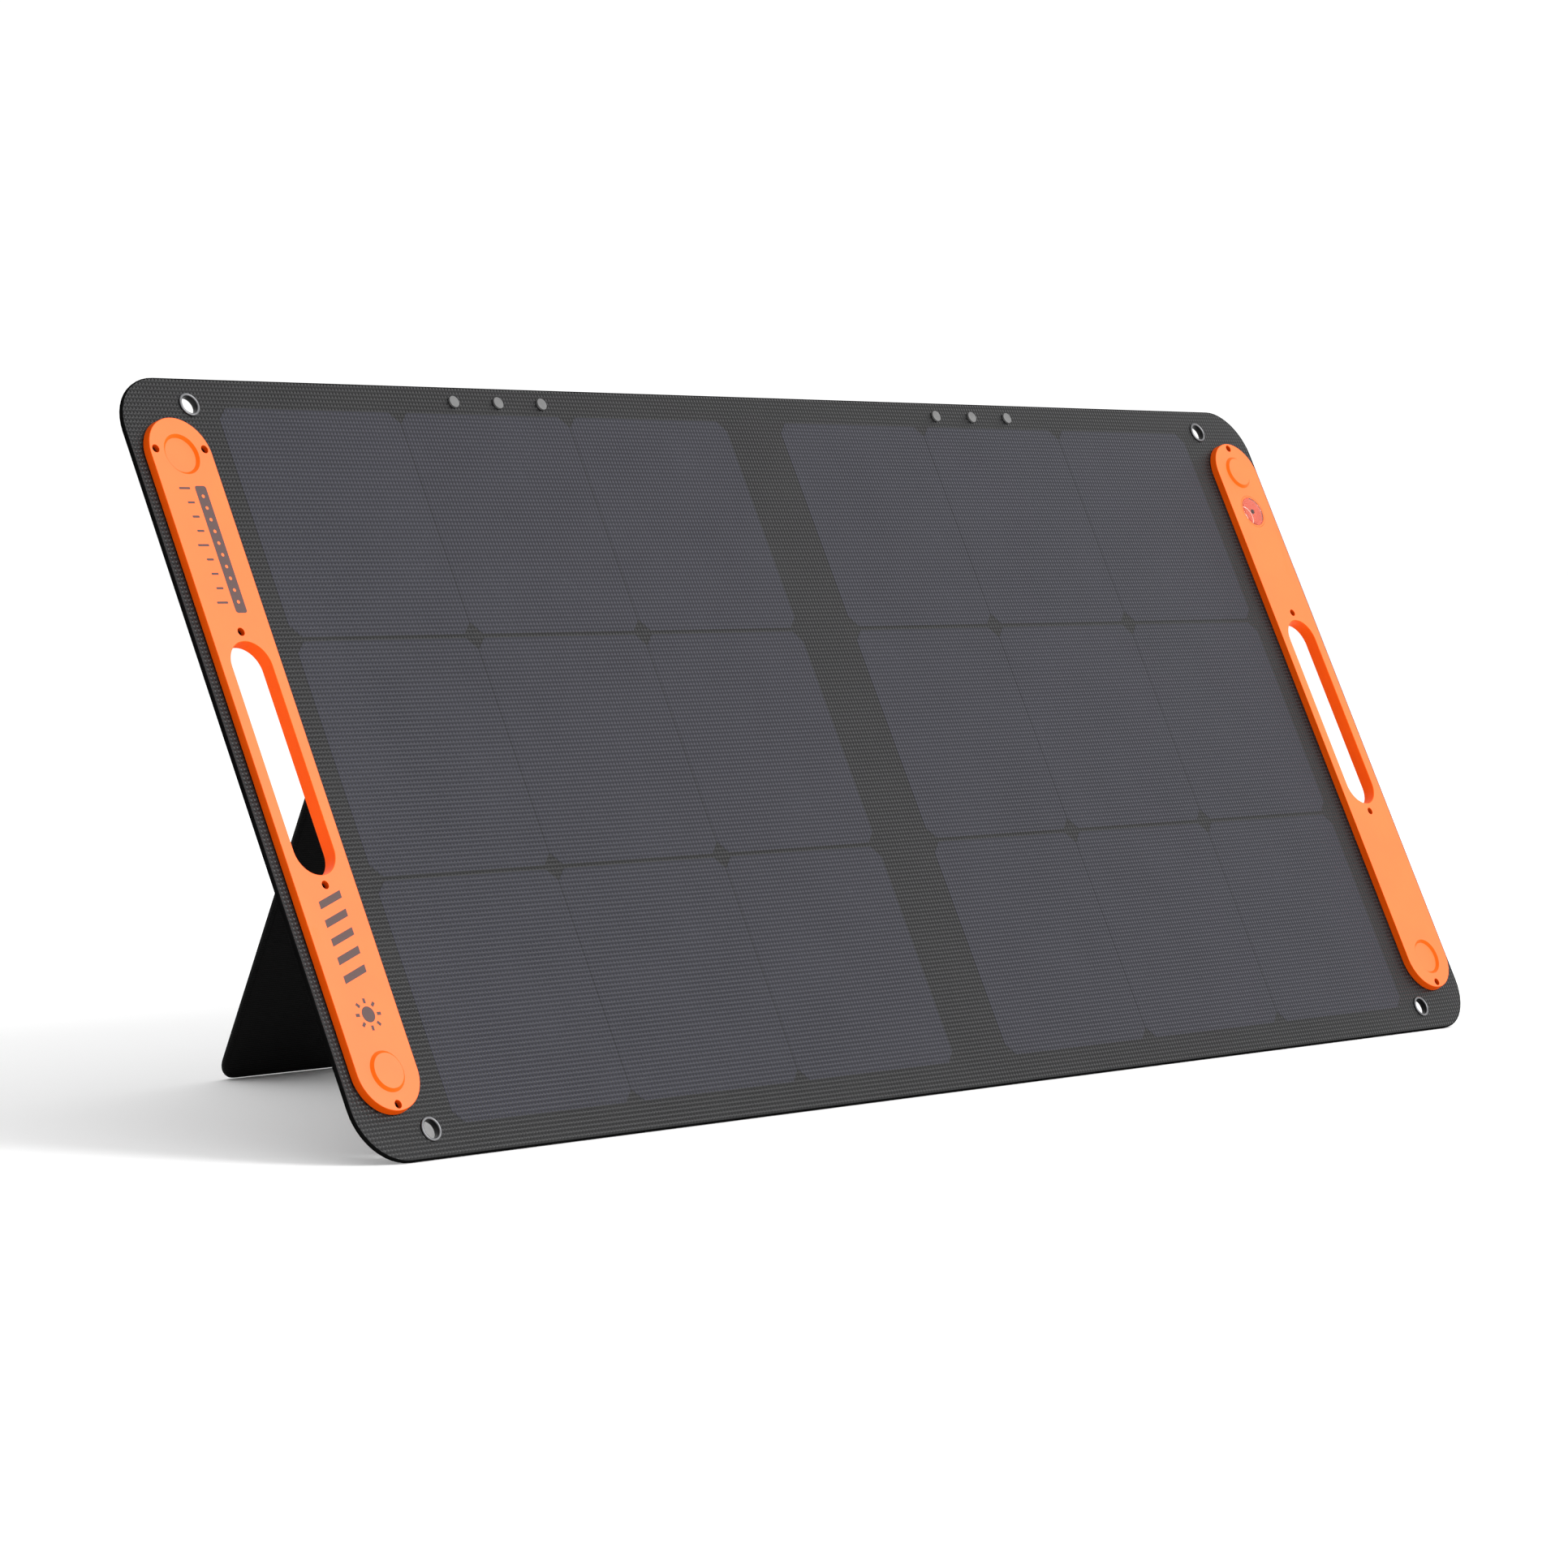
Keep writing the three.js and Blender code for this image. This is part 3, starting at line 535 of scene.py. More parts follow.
def stitches(name, rows, body, matrix=PLACE, pitch=3.4, length=2.5, width=0.75, rise=0.32):
    """Raised thread stitches along polylines of (x, y, z)."""
    points, faces = [], []
    for row in rows:
        row = [Vector(p) for p in row]
        for a, b in zip(row, row[1:]):
            reach = (b - a).length
            number = max(1, int(reach / pitch))
            along = (b - a).normalized()
            side = along.cross(Vector((0, 0, 1)))
            side = side.normalized() if side.length > 1e-3 else Vector((1, 0, 0))
            up = side.cross(along)
            for k in range(number):
                centre = a + along * reach * (k + 0.5) / number
                first = len(points)
                for t, thick in ((-0.5, 0.25), (-0.32, 0.85), (0, 1), (0.32, 0.85), (0.5, 0.25)):
                    for s in range(6):
                        angle = TAU * s / 6
                        offset = side * math.cos(angle) * width / 2 + up * math.sin(angle) * rise
                        points.append(centre + along * t * length + offset * thick)
                for ring in range(4):
                    for s in range(6):
                        low, high = first + ring * 6, first + (ring + 1) * 6
                        faces.append((low + s, low + (s + 1) % 6, high + (s + 1) % 6, high + s))
                faces.append(tuple(first + s for s in range(6)))
                faces.append(tuple(first + 24 + s for s in range(6)))
    return make(name, points, faces, THREAD, body, matrix, 80)


# ---------- places ----------
def screw_places(sign):
    x = sign * HANDLE_X
    aside, up = SCREW_PAIR
    top = [(x - aside, MID + up), (x + aside, MID + up)] if sign < 0 else [(x, MID + SCREW_END)]
    return top + [(x, MID + dy) for dy in (SCREW_DOWN, -SCREW_DOWN, -SCREW_END)]


def disc_places(sign):
    """(level, y, raised): each raised disc meets a recess when the panel is shut."""
    return [("upper", MID + DISC_Y, sign > 0), ("lower", MID - DISC_Y, sign < 0)]


def rivet_places(sign):
    return [(sign * STAND_X + step * RIVET_STEP, HEIGHT - RIVET_DOWN) for step in (-1, 0, 1)]


def grommet_places(sign):
    return [("upper", sign * GROMMET_X, HEIGHT - GROMMET_Y), ("lower", sign * GROMMET_X, GROMMET_Y)]


def piercings(sign):
    """Loops of everything that goes through a half's layers."""
    loops = [stadium(sign * HANDLE_X, MID, SLOT_W + COLLAR_ROOM, SLOT_L + COLLAR_ROOM)]
    recesses = [y for _, y, raised in disc_places(sign) if not raised]
    loops += [circle(sign * HANDLE_X, y, MAGNET_SEAT_R, 32) for y in recesses]
    loops += [circle(x, y, EYELET_HOLE_R, 32) for _, x, y in grommet_places(sign)]
    loops += [circle(x, y, SCREW_HOLE_R, 12) for x, y in screw_places(sign)]
    return loops + [circle(x, y, RIVET_HOLE_R, 12) for x, y in rivet_places(sign)]


def stand_for(piece, slot, *nodes):
    """Hides the CAD nodes that the piece replaces; the piece and its material slot are not used."""
    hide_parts(*nodes)


# ---------- panel halves ----------
def cell_outlines(sign):
    """Nine squares with cut corners."""
    low_y = MID - 1.5 * CELL - GAP_Y
    for column in range(3):
        for row in range(3):
            x = sign * (FIRST_X + CELL / 2 + column * (CELL + GAP_X))
            y = low_y + CELL / 2 + row * (CELL + GAP_Y)

            def loop(grow=0.0, x=x, y=y):
                half = CELL / 2 + grow
                near = half - CUT
                ends = ((half, near), (near, half), (-near, half), (-half, near),
                        (-half, -near), (-near, -half), (near, -half), (half, -near))
                return [(x + dx, y + dy) for dx, dy in ends]
            yield loop


def bend_across_fold(piece, name, sign):
    """Bakes the skin's placement into its mesh, alike for both halves."""
    if sign < 0:
        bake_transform(piece)
    else:
        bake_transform(piece)


def front_skin(name, sign):
    """Film from the fold to the outer edge, rolled over the rim, with the cells standing out."""
    skin = Build()
    rim = [(-0.9, 0), (-0.6, -0.02), (-0.35, -0.1), (-0.15, -0.25), (-0.04, -0.5), (0, -0.9), (0, -1.8),
           (-0.4, -1.8), (-0.42, -1.4), (-0.62, -0.95), (-1.0, -0.64), (-1.7, -0.5)]
    skin.wall(half_outline(sign, 0, FOLD_COLUMNS), rim, "front", "back", mark=2)
    for hole in piercings(sign):
        skin.wall(hole, [(0, 0), (0, -SKIN)], "front", "back")
    for cell in cell_outlines(sign):
        skin.wall(cell, [(0, 0), (-0.16, CELL_RISE)], "front", "cap", mark=1)
    skin.flat("front", FOLD_COLUMNS).flat("back", FOLD_COLUMNS)
    piece = skin.piece(f"{name}_front_film", [FILM_BORDER, FILM_CELL, FILM_EDGE], sharp=25)
    stand_for(piece, "laminate", f"{name}_front_laminate", *(["fold_front_laminate"] if sign < 0 else []))
    bend_across_fold(piece, name, sign)


def rear_skin(name, sign):
    """Cloth bonded to the back and turned round the rim to meet the film."""
    skin = Build()
    rim = [(-1.7, -3.6), (-1.15, -3.57), (-0.68, -3.44), (-0.3, -3.18), (-0.08, -2.75), (0, -2.3), (0, -1.9),
           (-0.4, -1.9), (-0.42, -2.3), (-0.62, -2.7), (-1.0, -2.96), (-1.7, -3.1)]
    skin.wall(half_outline(sign, 0, FOLD_COLUMNS), rim, "back", "front", mark=1)
    for hole in piercings(sign):
        skin.wall(hole, [(0, BACK_FACE), (0, -3.1)], "back", "front")
    skin.flat("front", FOLD_COLUMNS).flat("back", FOLD_COLUMNS)
    piece = skin.piece(f"{name}_back_cloth", [CLOTH, FILM_EDGE])
    stand_for(piece, "back_fabric", f"{name}_rear_fabric", *(["fold_rear_fabric"] if sign < 0 else []))
    bend_across_fold(piece, name, sign)


def board_core(name, sign):
    """Stiff board, drawn back under the rolled skins, with a tray that the cells lie in."""
    core = Build()
    outline = half_outline(sign, AXIS_X + BEND_REACH)
    core.wall(outline, [(-1.5, BOARD_FRONT), (-1.0, -1.2), (-1.0, -2.5), (-1.5, BOARD_BACK)], "front", "back")
    for hole in piercings(sign):
        core.wall(hole, [(0, BOARD_FRONT), (0, BOARD_BACK)], "front", "back")
    x0, x1 = FIRST_X - 0.3, FIRST_X + 3 * CELL + 2 * GAP_X + 0.3
    half_y = 1.5 * CELL + GAP_Y + 0.3
    low_x, high_x = sorted((sign * x0, sign * x1))
    tray = rounded(low_x, MID - half_y, high_x, MID + half_y, [0.5] * 4, 3)
    core.wall(tray, [(0, BOARD_FRONT), (0, -1.5)], "front", "cap")
    core.flat("front").flat("back")
    piece = core.piece(f"{name}_board_core", [BOARD], f"{name}_half")
    stand_for(piece, "stiff_board", f"{name}_backing_board")


# ---------- handles ----------
def handle_front(name, sign):
    """Orange bar: slot with its collar, one raised disc, one recess, sunk screw holes, dial well."""
    bar = Build()
    x, top, low = sign * HANDLE_X, HANDLE_TOP, 0.3
    outside = arc_steps(-0.35, top, 0, top - 0.35) + [(0.75, low + 0.3), (0.5, low)]
    bar.wall(stadium(x, MID, HANDLE_W, HANDLE_L, 48), outside, "front", "back", mark=1)
    collar = [(0, COLLAR_BACK + 0.3), (0.3, COLLAR_BACK), (COLLAR_WALL - 0.2, COLLAR_BACK),
              (COLLAR_WALL, COLLAR_BACK + 0.2), (COLLAR_WALL, low)]
    slot = arc_steps(0.35, top, 0, top - 0.35) + collar
    # The slot wall and the disc cones (mark 2) take the orange with lighter painted shade.
    bar.wall(stadium(x, MID, SLOT_W, SLOT_L, 40), slot, "front", "back", mark=2)
    for _, y, raised in disc_places(sign):
        if raised:
            peak = top + DISC_STEP
            cone = [(0.1, top), (-0.1, top + 0.1), (0.1 - DISC_TAPER, peak - 0.1), (-DISC_TAPER, peak)]
            bar.wall(circle(x, y, BOSS_R, 64), cone, "front", "cap", mark=2, cap_mark=0)
            bar.wall(circle(x, y, MAGNET_SEAT_R, 32), [(0, low), (0, peak - 1.2)], "back", "cap", mark=1)
        else:
            floor = top - DISC_STEP
            cone = [(0.1, top), (-0.1, top - 0.1), (0.1 - DISC_TAPER, floor + 0.1), (-DISC_TAPER, floor)]
            bar.wall(circle(x, y, RECESS_R, 64), cone, "front", "cap", mark=2, cap_mark=0)
    for sx, sy in screw_places(sign):
        well = arc_steps(0.2, top, 0, top - 0.2, 3) + [(0, 1.1), (-1.0, 1.1), (-1.0, low)]
        bar.wall(circle(sx, sy, 2.8, 28), well, "front", "back", mark=1)
    if sign > 0:
        well = [(0.15, top), (0, top - 0.15), (0, 2.6)]
        bar.wall(circle(x, DIAL_Y, 13.9, 56), well, "front", "cap", mark=1)
    bar.flat("front").flat("back")
    # Mark 1 faces, the outer sides and sunk wells, take the orange with painted shade.
    piece = bar.piece(f"{name}_handle_bar", [ORANGE, ORANGE_PAINTED_SHADE, ORANGE_WALL_PAINTED_SHADE], f"{name}_half", sharp=20,
                      weighted=True)
    stand_for(piece, "handle_orange", f"{name}_handle_front")


def handle_rear(name, sign):
    """Rear shell that the screws bite in, with a shallow ring groove behind each disc."""
    shell = Build()
    x, back, front = sign * HANDLE_X, -5.7, -3.9
    outside = arc_steps(-0.7, back, 0, back + 0.7) + [(0, front)]
    shell.wall(stadium(x, MID, HANDLE_W, HANDLE_L, 40), outside, "back", "front")
    inner = arc_steps(0.4, back, 0, back + 0.4) + [(0, front)]
    shell.wall(stadium(x, MID, SLOT_W + COLLAR_ROOM, SLOT_L + COLLAR_ROOM), inner, "back", "front")
    for sx, sy in screw_places(sign):
        shell.wall(circle(sx, sy, SCREW_HOLE_R, 12), [(0, front), (0, -5.4)], "front", "cap")
    for y in (MID - DISC_Y, MID + DISC_Y):
        groove = [(0, back), (-0.3, back + 0.3), (-0.8, back + 0.3), (-1.1, back)]
        shell.wall(circle(x, y, 13, 40), groove, "back", "cap")
    shell.flat("front").flat("back")
    piece = shell.piece(f"{name}_handle_back_shell", [BLACK_PLASTIC], f"{name}_half", weighted=True)
    stand_for(piece, "black_plastic", f"{name}_handle_rear")


def cross_recess(x, y, arm=1.75, width=0.42):
    """Outline of a cross-shaped driver recess."""
    def loop(grow=0.0):
        a, w = arm + grow, width + grow
        ends = ((a, w), (w, w), (w, a), (-w, a), (-w, w), (-a, w),
                (-a, -w), (-w, -w), (-w, -a), (w, -a), (w, -w), (a, -w))
        return [(x + dx, y + dy) for dx, dy in ends]
    return loop


def handle_screw(name, x, y, body, node):
    """Pan head with a cross recess, and a threaded shank."""
    screw = Build()
    screw.wall(cross_recess(x, y), [(0, 2.7), (-0.1, 1.9)], "front", "cap")
    screw.ends["front"].reverse()
    steps = [(-0.5, 2.7), (-0.2, 2.62), (0, 2.35), (0, 1.45), (-0.1, 1.4), (-1.25, 1.4)]
    for k in range(8):
        z = 1.0 - 0.8 * k
        steps += [(-1.25, z), (-0.95, z - 0.4)]
    steps += [(-1.3, -5.1), (-1.6, -5.3)]
    screw.wall(circle(x, y, 2.5, 24), steps, "front", "cap")
    screw.ends["front"].sort(key=len, reverse=True)
    screw.flat("front")
    piece = screw.piece(name, [BLACK_STEEL], body)
    stand_for(piece, "black_screw", node)


def magnet(name, sign, level, y, raised):
    low, high = (3.1, 5.9) if raised else (BOARD_BACK, 0)
    profile = [(0, low), (10.6, low), (11, low + 0.4), (11, high - 0.4), (10.6, high), (0, high)]
    x, body = sign * HANDLE_X, f"{name}_half"
    piece = turned(f"{name}_{level}_disc_magnet", x, y, profile, MAGNET, body, count=36)
    stand_for(piece, "magnet", f"{name}_{level}_magnet")


def handle_print():
    """Plain printed marks on the left bar: a dotted bar with ticks beside it, a sun and slanted stripes."""
    top, film, left = HANDLE_TOP, 0.04, -HALF

    def mark(name, outline, holes=()):
        sheet = Build()
        for loop in (outline, *holes):
            sheet.wall(loop, [(0, top), (0, top + film)], "low", "high")
        sheet.flat("low").flat("high")
        sheet.piece(f"left_handle_print_{name}", [INK_AND_PAINTED_SHADOW], "left_half")

    def column(x0, x1, down0, down1, radius):
        return rounded(left + x0, HEIGHT - down1, left + x1, HEIGHT - down0, [radius] * 4, 5)

    dots = [circle(left + 42.15, HEIGHT - 88 - 8.3 * k, 1.25, 16) for k in range(10)]
    mark("bar", column(37.3, 47, 80.5, 170.5, 2), dots)
    for k in range(9):
        down = 81.5 + 10.1 * k
        span = 9.5 if k % 4 == 0 else 6
        mark(f"tick_{k + 1}", column(33.2 - span, 33.2, down, down + 1.6, 0.6))
    sun = Vector((left + 36, HEIGHT - 446))
    mark("sun", circle(sun.x, sun.y, 5.4, 36))
    near, far, half = 7.4, 10.8, 1.1
    for k in range(8):
        angle = TAU * k / 8

        def ray(grow=0.0, angle=angle):
            out = Vector((math.cos(angle), math.sin(angle)))
            side = Vector((-out.y, out.x))
            corners = ((near, -half), (far, -half), (far, half), (near, half))
            return [tuple(sun + out * r + side * w) for r, w in corners]
        mark(f"ray_{k + 1}", ray)
    for k in range(5):
        down = 425 - 12.6 * k

        def stripe(grow=0.0, down=down):
            ends = ((25.5, 0), (46.5, -7), (46.5, -12.2), (25.5, -5.2))
            return [(left + x, HEIGHT - down - y) for x, y in ends]
        mark(f"stripe_{k + 1}", stripe)


# ---------- sun dial ----------
def sun_dial():
    """Bezel, salmon face with painted glare arcs and a painted shadow line on it, clear window over it and
    the pin through its middle.
    """
    x, y, face = HANDLE_X, DIAL_Y, 5.0
    parts = (
        ("bezel", ORANGE, "handle_orange", 64,
         [(12.4, 2.9), (13.8, 2.9), (13.8, 5.66), (13.74, 5.72), (13.6, 5.75), (12.7, 5.82), (12.5, 5.8),
          (12.4, 5.7)]),
        ("face", SALMON, "dial_salmon", 64, [(0, 2.9), (12.1, 2.9), (12.1, 4.85), (11.9, face), (0, face)]),
        ("window", CLEAR, "clear_window", 64,
         [(1.6, 5.3), (12.1, 5.3), (12.1, 5.7), (11.8, 5.86), (6, 5.9), (1.6, 5.9)]),
        ("pin", PIN_BROWN, "black_plastic", 32,
         [(0, 5.02), (2.0, 5.02), (2.0, 5.25), (1.3, 5.3), (1.3, 6.0), (1.0, 6.2), (0, 6.25)]))
    for part, material, slot, count, profile in parts:
        piece = turned(f"dial_{part}", x, y, profile, material, "right_half", count=count)
        stand_for(piece, slot, f"sun_dial_{part}")
    # Painted glare arcs and a painted shadow line by the rim: centre off the pin, radius, start and end
    # angle, half width.
    lines = (("arc", PAINTED_GLARE, -11.3, -4.2, 8.7, -46, 85, 0.32),
             ("short_arc", PAINTED_GLARE, -15.1, -5.8, 6.0, -8, 43, 0.28),
             # The rim line is a painted shadow in the gap under the bezel.
             ("rim_painted_shadow", INK_AND_PAINTED_SHADOW, 0, 0, 11.75, -42, 84, 0.22))
    for label, painted_light_material, dx, dy, radius, start, stop, half in lines:
        def loop(grow=0.0, cx=x + dx, cy=y + dy, radius=radius, start=start, stop=stop, half=half):
            angles = [math.radians(start + (stop - start) * k / 24) for k in range(25)]
            outer, inner = radius + half, radius - half
            return ([(cx + outer * math.cos(a), cy + outer * math.sin(a)) for a in angles]
                    + [(cx + inner * math.cos(a), cy + inner * math.sin(a)) for a in reversed(angles)])
        line = Build().wall(loop, [(0, face), (0, face + 0.04)], "low", "high").flat("low").flat("high")
        line.piece(f"dial_{label}", [painted_light_material], "right_half")


# ---------- fasteners ----------
def grommet(name, level, x, y):
    """Rolled eyelet: domed front flange, barrel and a curled lip behind."""
    behind = [(6.1, -2.6), (6.2, -3.4), (6.5, -4.2), (6.85, -4.6), (7.3, -4.7), (8.0, -4.7), (8.45, -4.55),
              (8.6, -4.3), (8.5, -4.0), (8.3, -3.9), (6.8, -3.9), (6.8, 0.3)]
    flange = [(8.1, 0.3), (8.3, 0.42), (8.3, 0.6), (8.1, 0.95), (7.75, 1.2), (7.3, 1.3), (6.85, 1.22),
              (6.45, 0.95), (6.2, 0.5), (6.1, 0.0)]
    piece = turned(f"{name}_{level}_eyelet", x, y, behind + flange, STEEL, f"{name}_half", count=56, sharp=50)
    stand_for(piece, "grommet_steel", f"{name}_{level}_grommet")


def rivet(name, number, x, y):
    """Flat turned head in front, shank, and a set tail with a dimple behind."""
    tail = [(0, -6.15), (1.2, -6.2), (1.8, -6.4), (3.2, -6.4), (3.6, -6.2), (3.7, -5.9), (3.7, -5.2)]
    shank = [(2, -5.2), (2, 0.3)]
    profile = tail + shank + [(4.2, 0.3), (4.3, 0.4), (4.3, 1.7), (4.2, 1.85), (4.0, 1.9), (0, 1.9)]
    piece = turned(f"{name}_stand_rivet_{number}", x, y, profile, RIVET_GREY, f"{name}_half", count=40)
    stand_for(piece, "rivet_metal", f"{name}_rivet_{number}")


# ---------- kickstands ----------
def stand_place(sign):
    hinge = Matrix.Translation((sign * STAND_X * MM, STAND_Y * MM, STAND_Z * MM))
    return PLACE @ hinge @ Matrix.Rotation(STAND_OPEN, 4, "X")


def stand(name, sign):
    """Cloth sleeve over a stiff core, welded along a groove just inside its edge."""
    matrix = stand_place(sign)
    outline = rounded(-STAND_W / 2, -STAND_L, STAND_W / 2, -3, [15, 15, 3, 3], 10)
    sleeve = Build()
    groove = [(-4.6, -0.1), (-4.3, -0.1), (-4.1, -0.3), (-3.3, -0.3), (-3.1, -0.1)]
    edge = arc_steps(-1.5, -0.05, 0, -2.0, 5)
    half = groove + edge
    back = [(grow, -4 - z) for grow, z in reversed(half)][1:]
    sleeve.wall(outline, half + back, "front", "back")
    sleeve.flat("front").flat("back")
    piece = sleeve.piece(f"{name}_stand_cover", [STAND_CLOTH], f"{name}_stand", matrix, 40, weighted=True)
    stand_for(piece, "stand_fabric", f"{name}_stand_sleeve")
    dress(f"{name}_stand_core", BOARD_CAD)


def stand_flap(name, sign):
    """Strap clamped by the rivets that runs on as the hinge and is sewn to the stand's outer face."""
    x, half_w, thick = sign * STAND_X, 60, 0.7
    out, down = Vector((0.768, -0.641)), Vector((-0.641, -0.768))  # off and along the open stand
    base = Vector((STAND_Y, STAND_Z)) + out * (4 + 0.05 + thick / 2)
    clamped = ((537.4, -4.4), (534, -4.4), (530.5, -4.4), (528.2, -4.4))
    turn = ((526.9, -4.42), (526.25, -4.7), (525.95, -5.3), (525.8, -6.1), (525.75, -7.0), (525.7, -7.9),
            (525.6, -8.7))
    sewn = [base + down * s for s in (3.4, 4.5, 6, 8, 10, 12, 14, 16, 18)]
    line = [Vector(p) for p in clamped + turn] + sewn
    points, faces = [], []
    xs = [x + half_w * k / 12 for k in range(-12, 13)]
    for i, spot in enumerate(line):
        before, after = line[max(i - 1, 0)], line[min(i + 1, len(line) - 1)]
        along = (after - before).normalized()
        normal = Vector((-along.y, along.x)) * thick / 2
        for side in (1, -1):
            points += [(px, (spot + normal * side).x, (spot + normal * side).y) for px in xs]
    n, rows = len(xs), len(line)

    def at(i, side, k):
        return (2 * i + side) * n + k
    for i in range(rows - 1):
        for k in range(n - 1):
            faces.append((at(i, 0, k), at(i, 0, k + 1), at(i + 1, 0, k + 1), at(i + 1, 0, k)))
            faces.append((at(i, 1, k), at(i + 1, 1, k), at(i + 1, 1, k + 1), at(i, 1, k + 1)))
        for k in (0, n - 1):
            faces.append((at(i, 0, k), at(i + 1, 0, k), at(i + 1, 1, k), at(i, 1, k)))
    for i in (0, rows - 1):
        for k in range(n - 1):
            faces.append((at(i, 0, k), at(i, 0, k + 1), at(i, 1, k + 1), at(i, 1, k)))
    piece = make(f"{name}_hinge_flap", points, faces, CLOTH, None, PLACE, 40)
    stand_for(piece, "back_fabric", f"{name}_hinge_strap")
    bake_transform(piece)
    rows = [[(-half_w + 3, -s, -4.78), (half_w - 3, -s, -4.78)] for s in (7, 14)]
    stitches(f"{name}_stand_stitches", rows, f"{name}_stand", stand_place(sign))


# ---------- rear pocket ----------
FLANGE, POUCH_CORNER, POUCH_SIDE = 8, 22, 17
TAPE_HALF = (79, 11)


def pouch_point(u, v):
    """Plan position and distance from the sewn edge, for u and v from 0 to 1 across the cloth."""
    half_x, half_y = POCKET_W / 2 + FLANGE, POCKET_H / 2 + FLANGE
    dx, dy = (2 * u - 1) * half_x, (2 * v - 1) * half_y
    cx, cy = half_x - POUCH_CORNER, half_y - POUCH_CORNER
    if abs(dx) > cx and abs(dy) > cy:
        a, b = (abs(dx) - cx) / POUCH_CORNER, (abs(dy) - cy) / POUCH_CORNER
        a, b = a * math.sqrt(1 - b * b / 2), b * math.sqrt(1 - a * a / 2)
        edge = POUCH_CORNER * (1 - math.hypot(a, b))
        dx = math.copysign(cx + a * POUCH_CORNER, dx)
        dy = math.copysign(cy + b * POUCH_CORNER, dy)
    else:
        edge = min(half_x - abs(dx), half_y - abs(dy))
    return POCKET_X + dx, POCKET_Y + dy, edge


def settle(piece, held, frames=18, limit=5.0):
    """Cloth run under slight pressure; no point moves further than `limit` millimetres."""
    start = [vertex.co.copy() for vertex in piece.data.vertices]
    group = piece.vertex_groups.new(name="sewn")
    group.add(held, 1.0, "REPLACE")
    cloth = piece.modifiers.new("cloth", "CLOTH")
    settings = cloth.settings
    settings.quality, settings.mass = 6, 0.3
    settings.vertex_group_mass = "sewn"
    settings.use_pressure, settings.uniform_pressure_force = True, 4.0
    settings.shrink_min = -0.035
    settings.bending_stiffness = 0.4
    settings.effector_weights.gravity = 0
    cloth.point_cache.frame_start, cloth.point_cache.frame_end = 1, frames
    scene = bpy.context.scene
    for number in range(1, frames + 1):
        scene.frame_set(number)
    settled = piece.evaluated_get(bpy.context.evaluated_depsgraph_get()).to_mesh()
    moved = [vertex.co.copy() for vertex in settled.vertices]
    piece.evaluated_get(bpy.context.evaluated_depsgraph_get()).to_mesh_clear()
    piece.modifiers.remove(cloth)
    scene.frame_set(1)
    for vertex, before, after in zip(piece.data.vertices, start, moved):
        step = after - before
        if step.length > limit * MM:
            step *= limit * MM / step.length
        vertex.co = before + step


def pocket():
    """Pouch sewn round its flange, full over the output box and creased where it is slack."""
    columns, rows = 84, 94
    depth = POCKET_FRONT - POCKET_BACK - 1.3
    source = random.Random(11)
    folds = [(source.uniform(0, TAU), source.uniform(0.04, 0.11), source.uniform(0, TAU)) for _ in range(8)]
    points, faces, held = [], [], []
    for j in range(rows + 1):
        for i in range(columns + 1):
            x, y, edge = pouch_point(i / columns, j / rows)
            climb = min(1.0, max(0.0, (edge - FLANGE) / POUCH_SIDE))
            height = 1 - (1 - climb) ** 2.3
            beside = max(abs(y - ZIP_Y) - TAPE_HALF[1] - 1, abs(x - POCKET_X) - TAPE_HALF[0] - 1)
            slack = height * min(1.0, max(0.0, beside / 14))
            crease = sum(math.sin(x * math.cos(a) * f + y * math.sin(a) * f + p) for a, f, p in folds) / 8
            if edge < FLANGE + 0.5 or beside < 0:
                held.append(len(points))
            points.append((x, y, POUCH_SEWN - (depth - 0.3) * height - slack * (1.0 + 1.5 * crease)))
    for j in range(rows):
        for i in range(columns):
            a = j * (columns + 1) + i
            faces.append((a, a + columns + 1, a + columns + 2, a + 1))
    piece = make("pocket_pouch", points, faces, CLOTH, "right_half", PLACE, 80)
    if sum(face.normal.z for face in piece.data.polygons) > 0:
        piece.data.flip_normals()
    settle(piece, held)
    for vertex in piece.data.vertices:
        from_box = abs(vertex.co.x / MM - POCKET_X), abs(vertex.co.y / MM - BOX_Y)
        if from_box[0] < BOX_REACH[0] and from_box[1] < BOX_REACH[1]:
            vertex.co.z = min(vertex.co.z, BOX_CLEAR * MM)
        if vertex.co.z > POUCH_SEWN * MM:
            vertex.co.z = POUCH_SEWN * MM
    shell = piece.modifiers.new("cloth_thickness", "SOLIDIFY")
    shell.thickness, shell.offset = 0.8 * MM, 0
    stand_for(piece, "back_fabric", "rear_pocket")

    half_x, half_y = POCKET_W / 2 + FLANGE - 4, POCKET_H / 2 + FLANGE - 4
    seam = rounded(POCKET_X - half_x, POCKET_Y - half_y, POCKET_X + half_x, POCKET_Y + half_y,
                   [POUCH_CORNER - 4] * 4, 6)()
    loop = [(x, y, -4.52) for x, y in seam + seam[:1]]
    stitches("pocket_seam_stitches", [loop], "right_half")
    reach, level = TAPE_HALF[0] - 2, -19.72
    along = [[(POCKET_X + side * reach, ZIP_Y + dy, level) for side in (-1, 1)] for dy in (-8.5, 8.5)]
    stitches("zip_tape_stitches", along, "right_half")


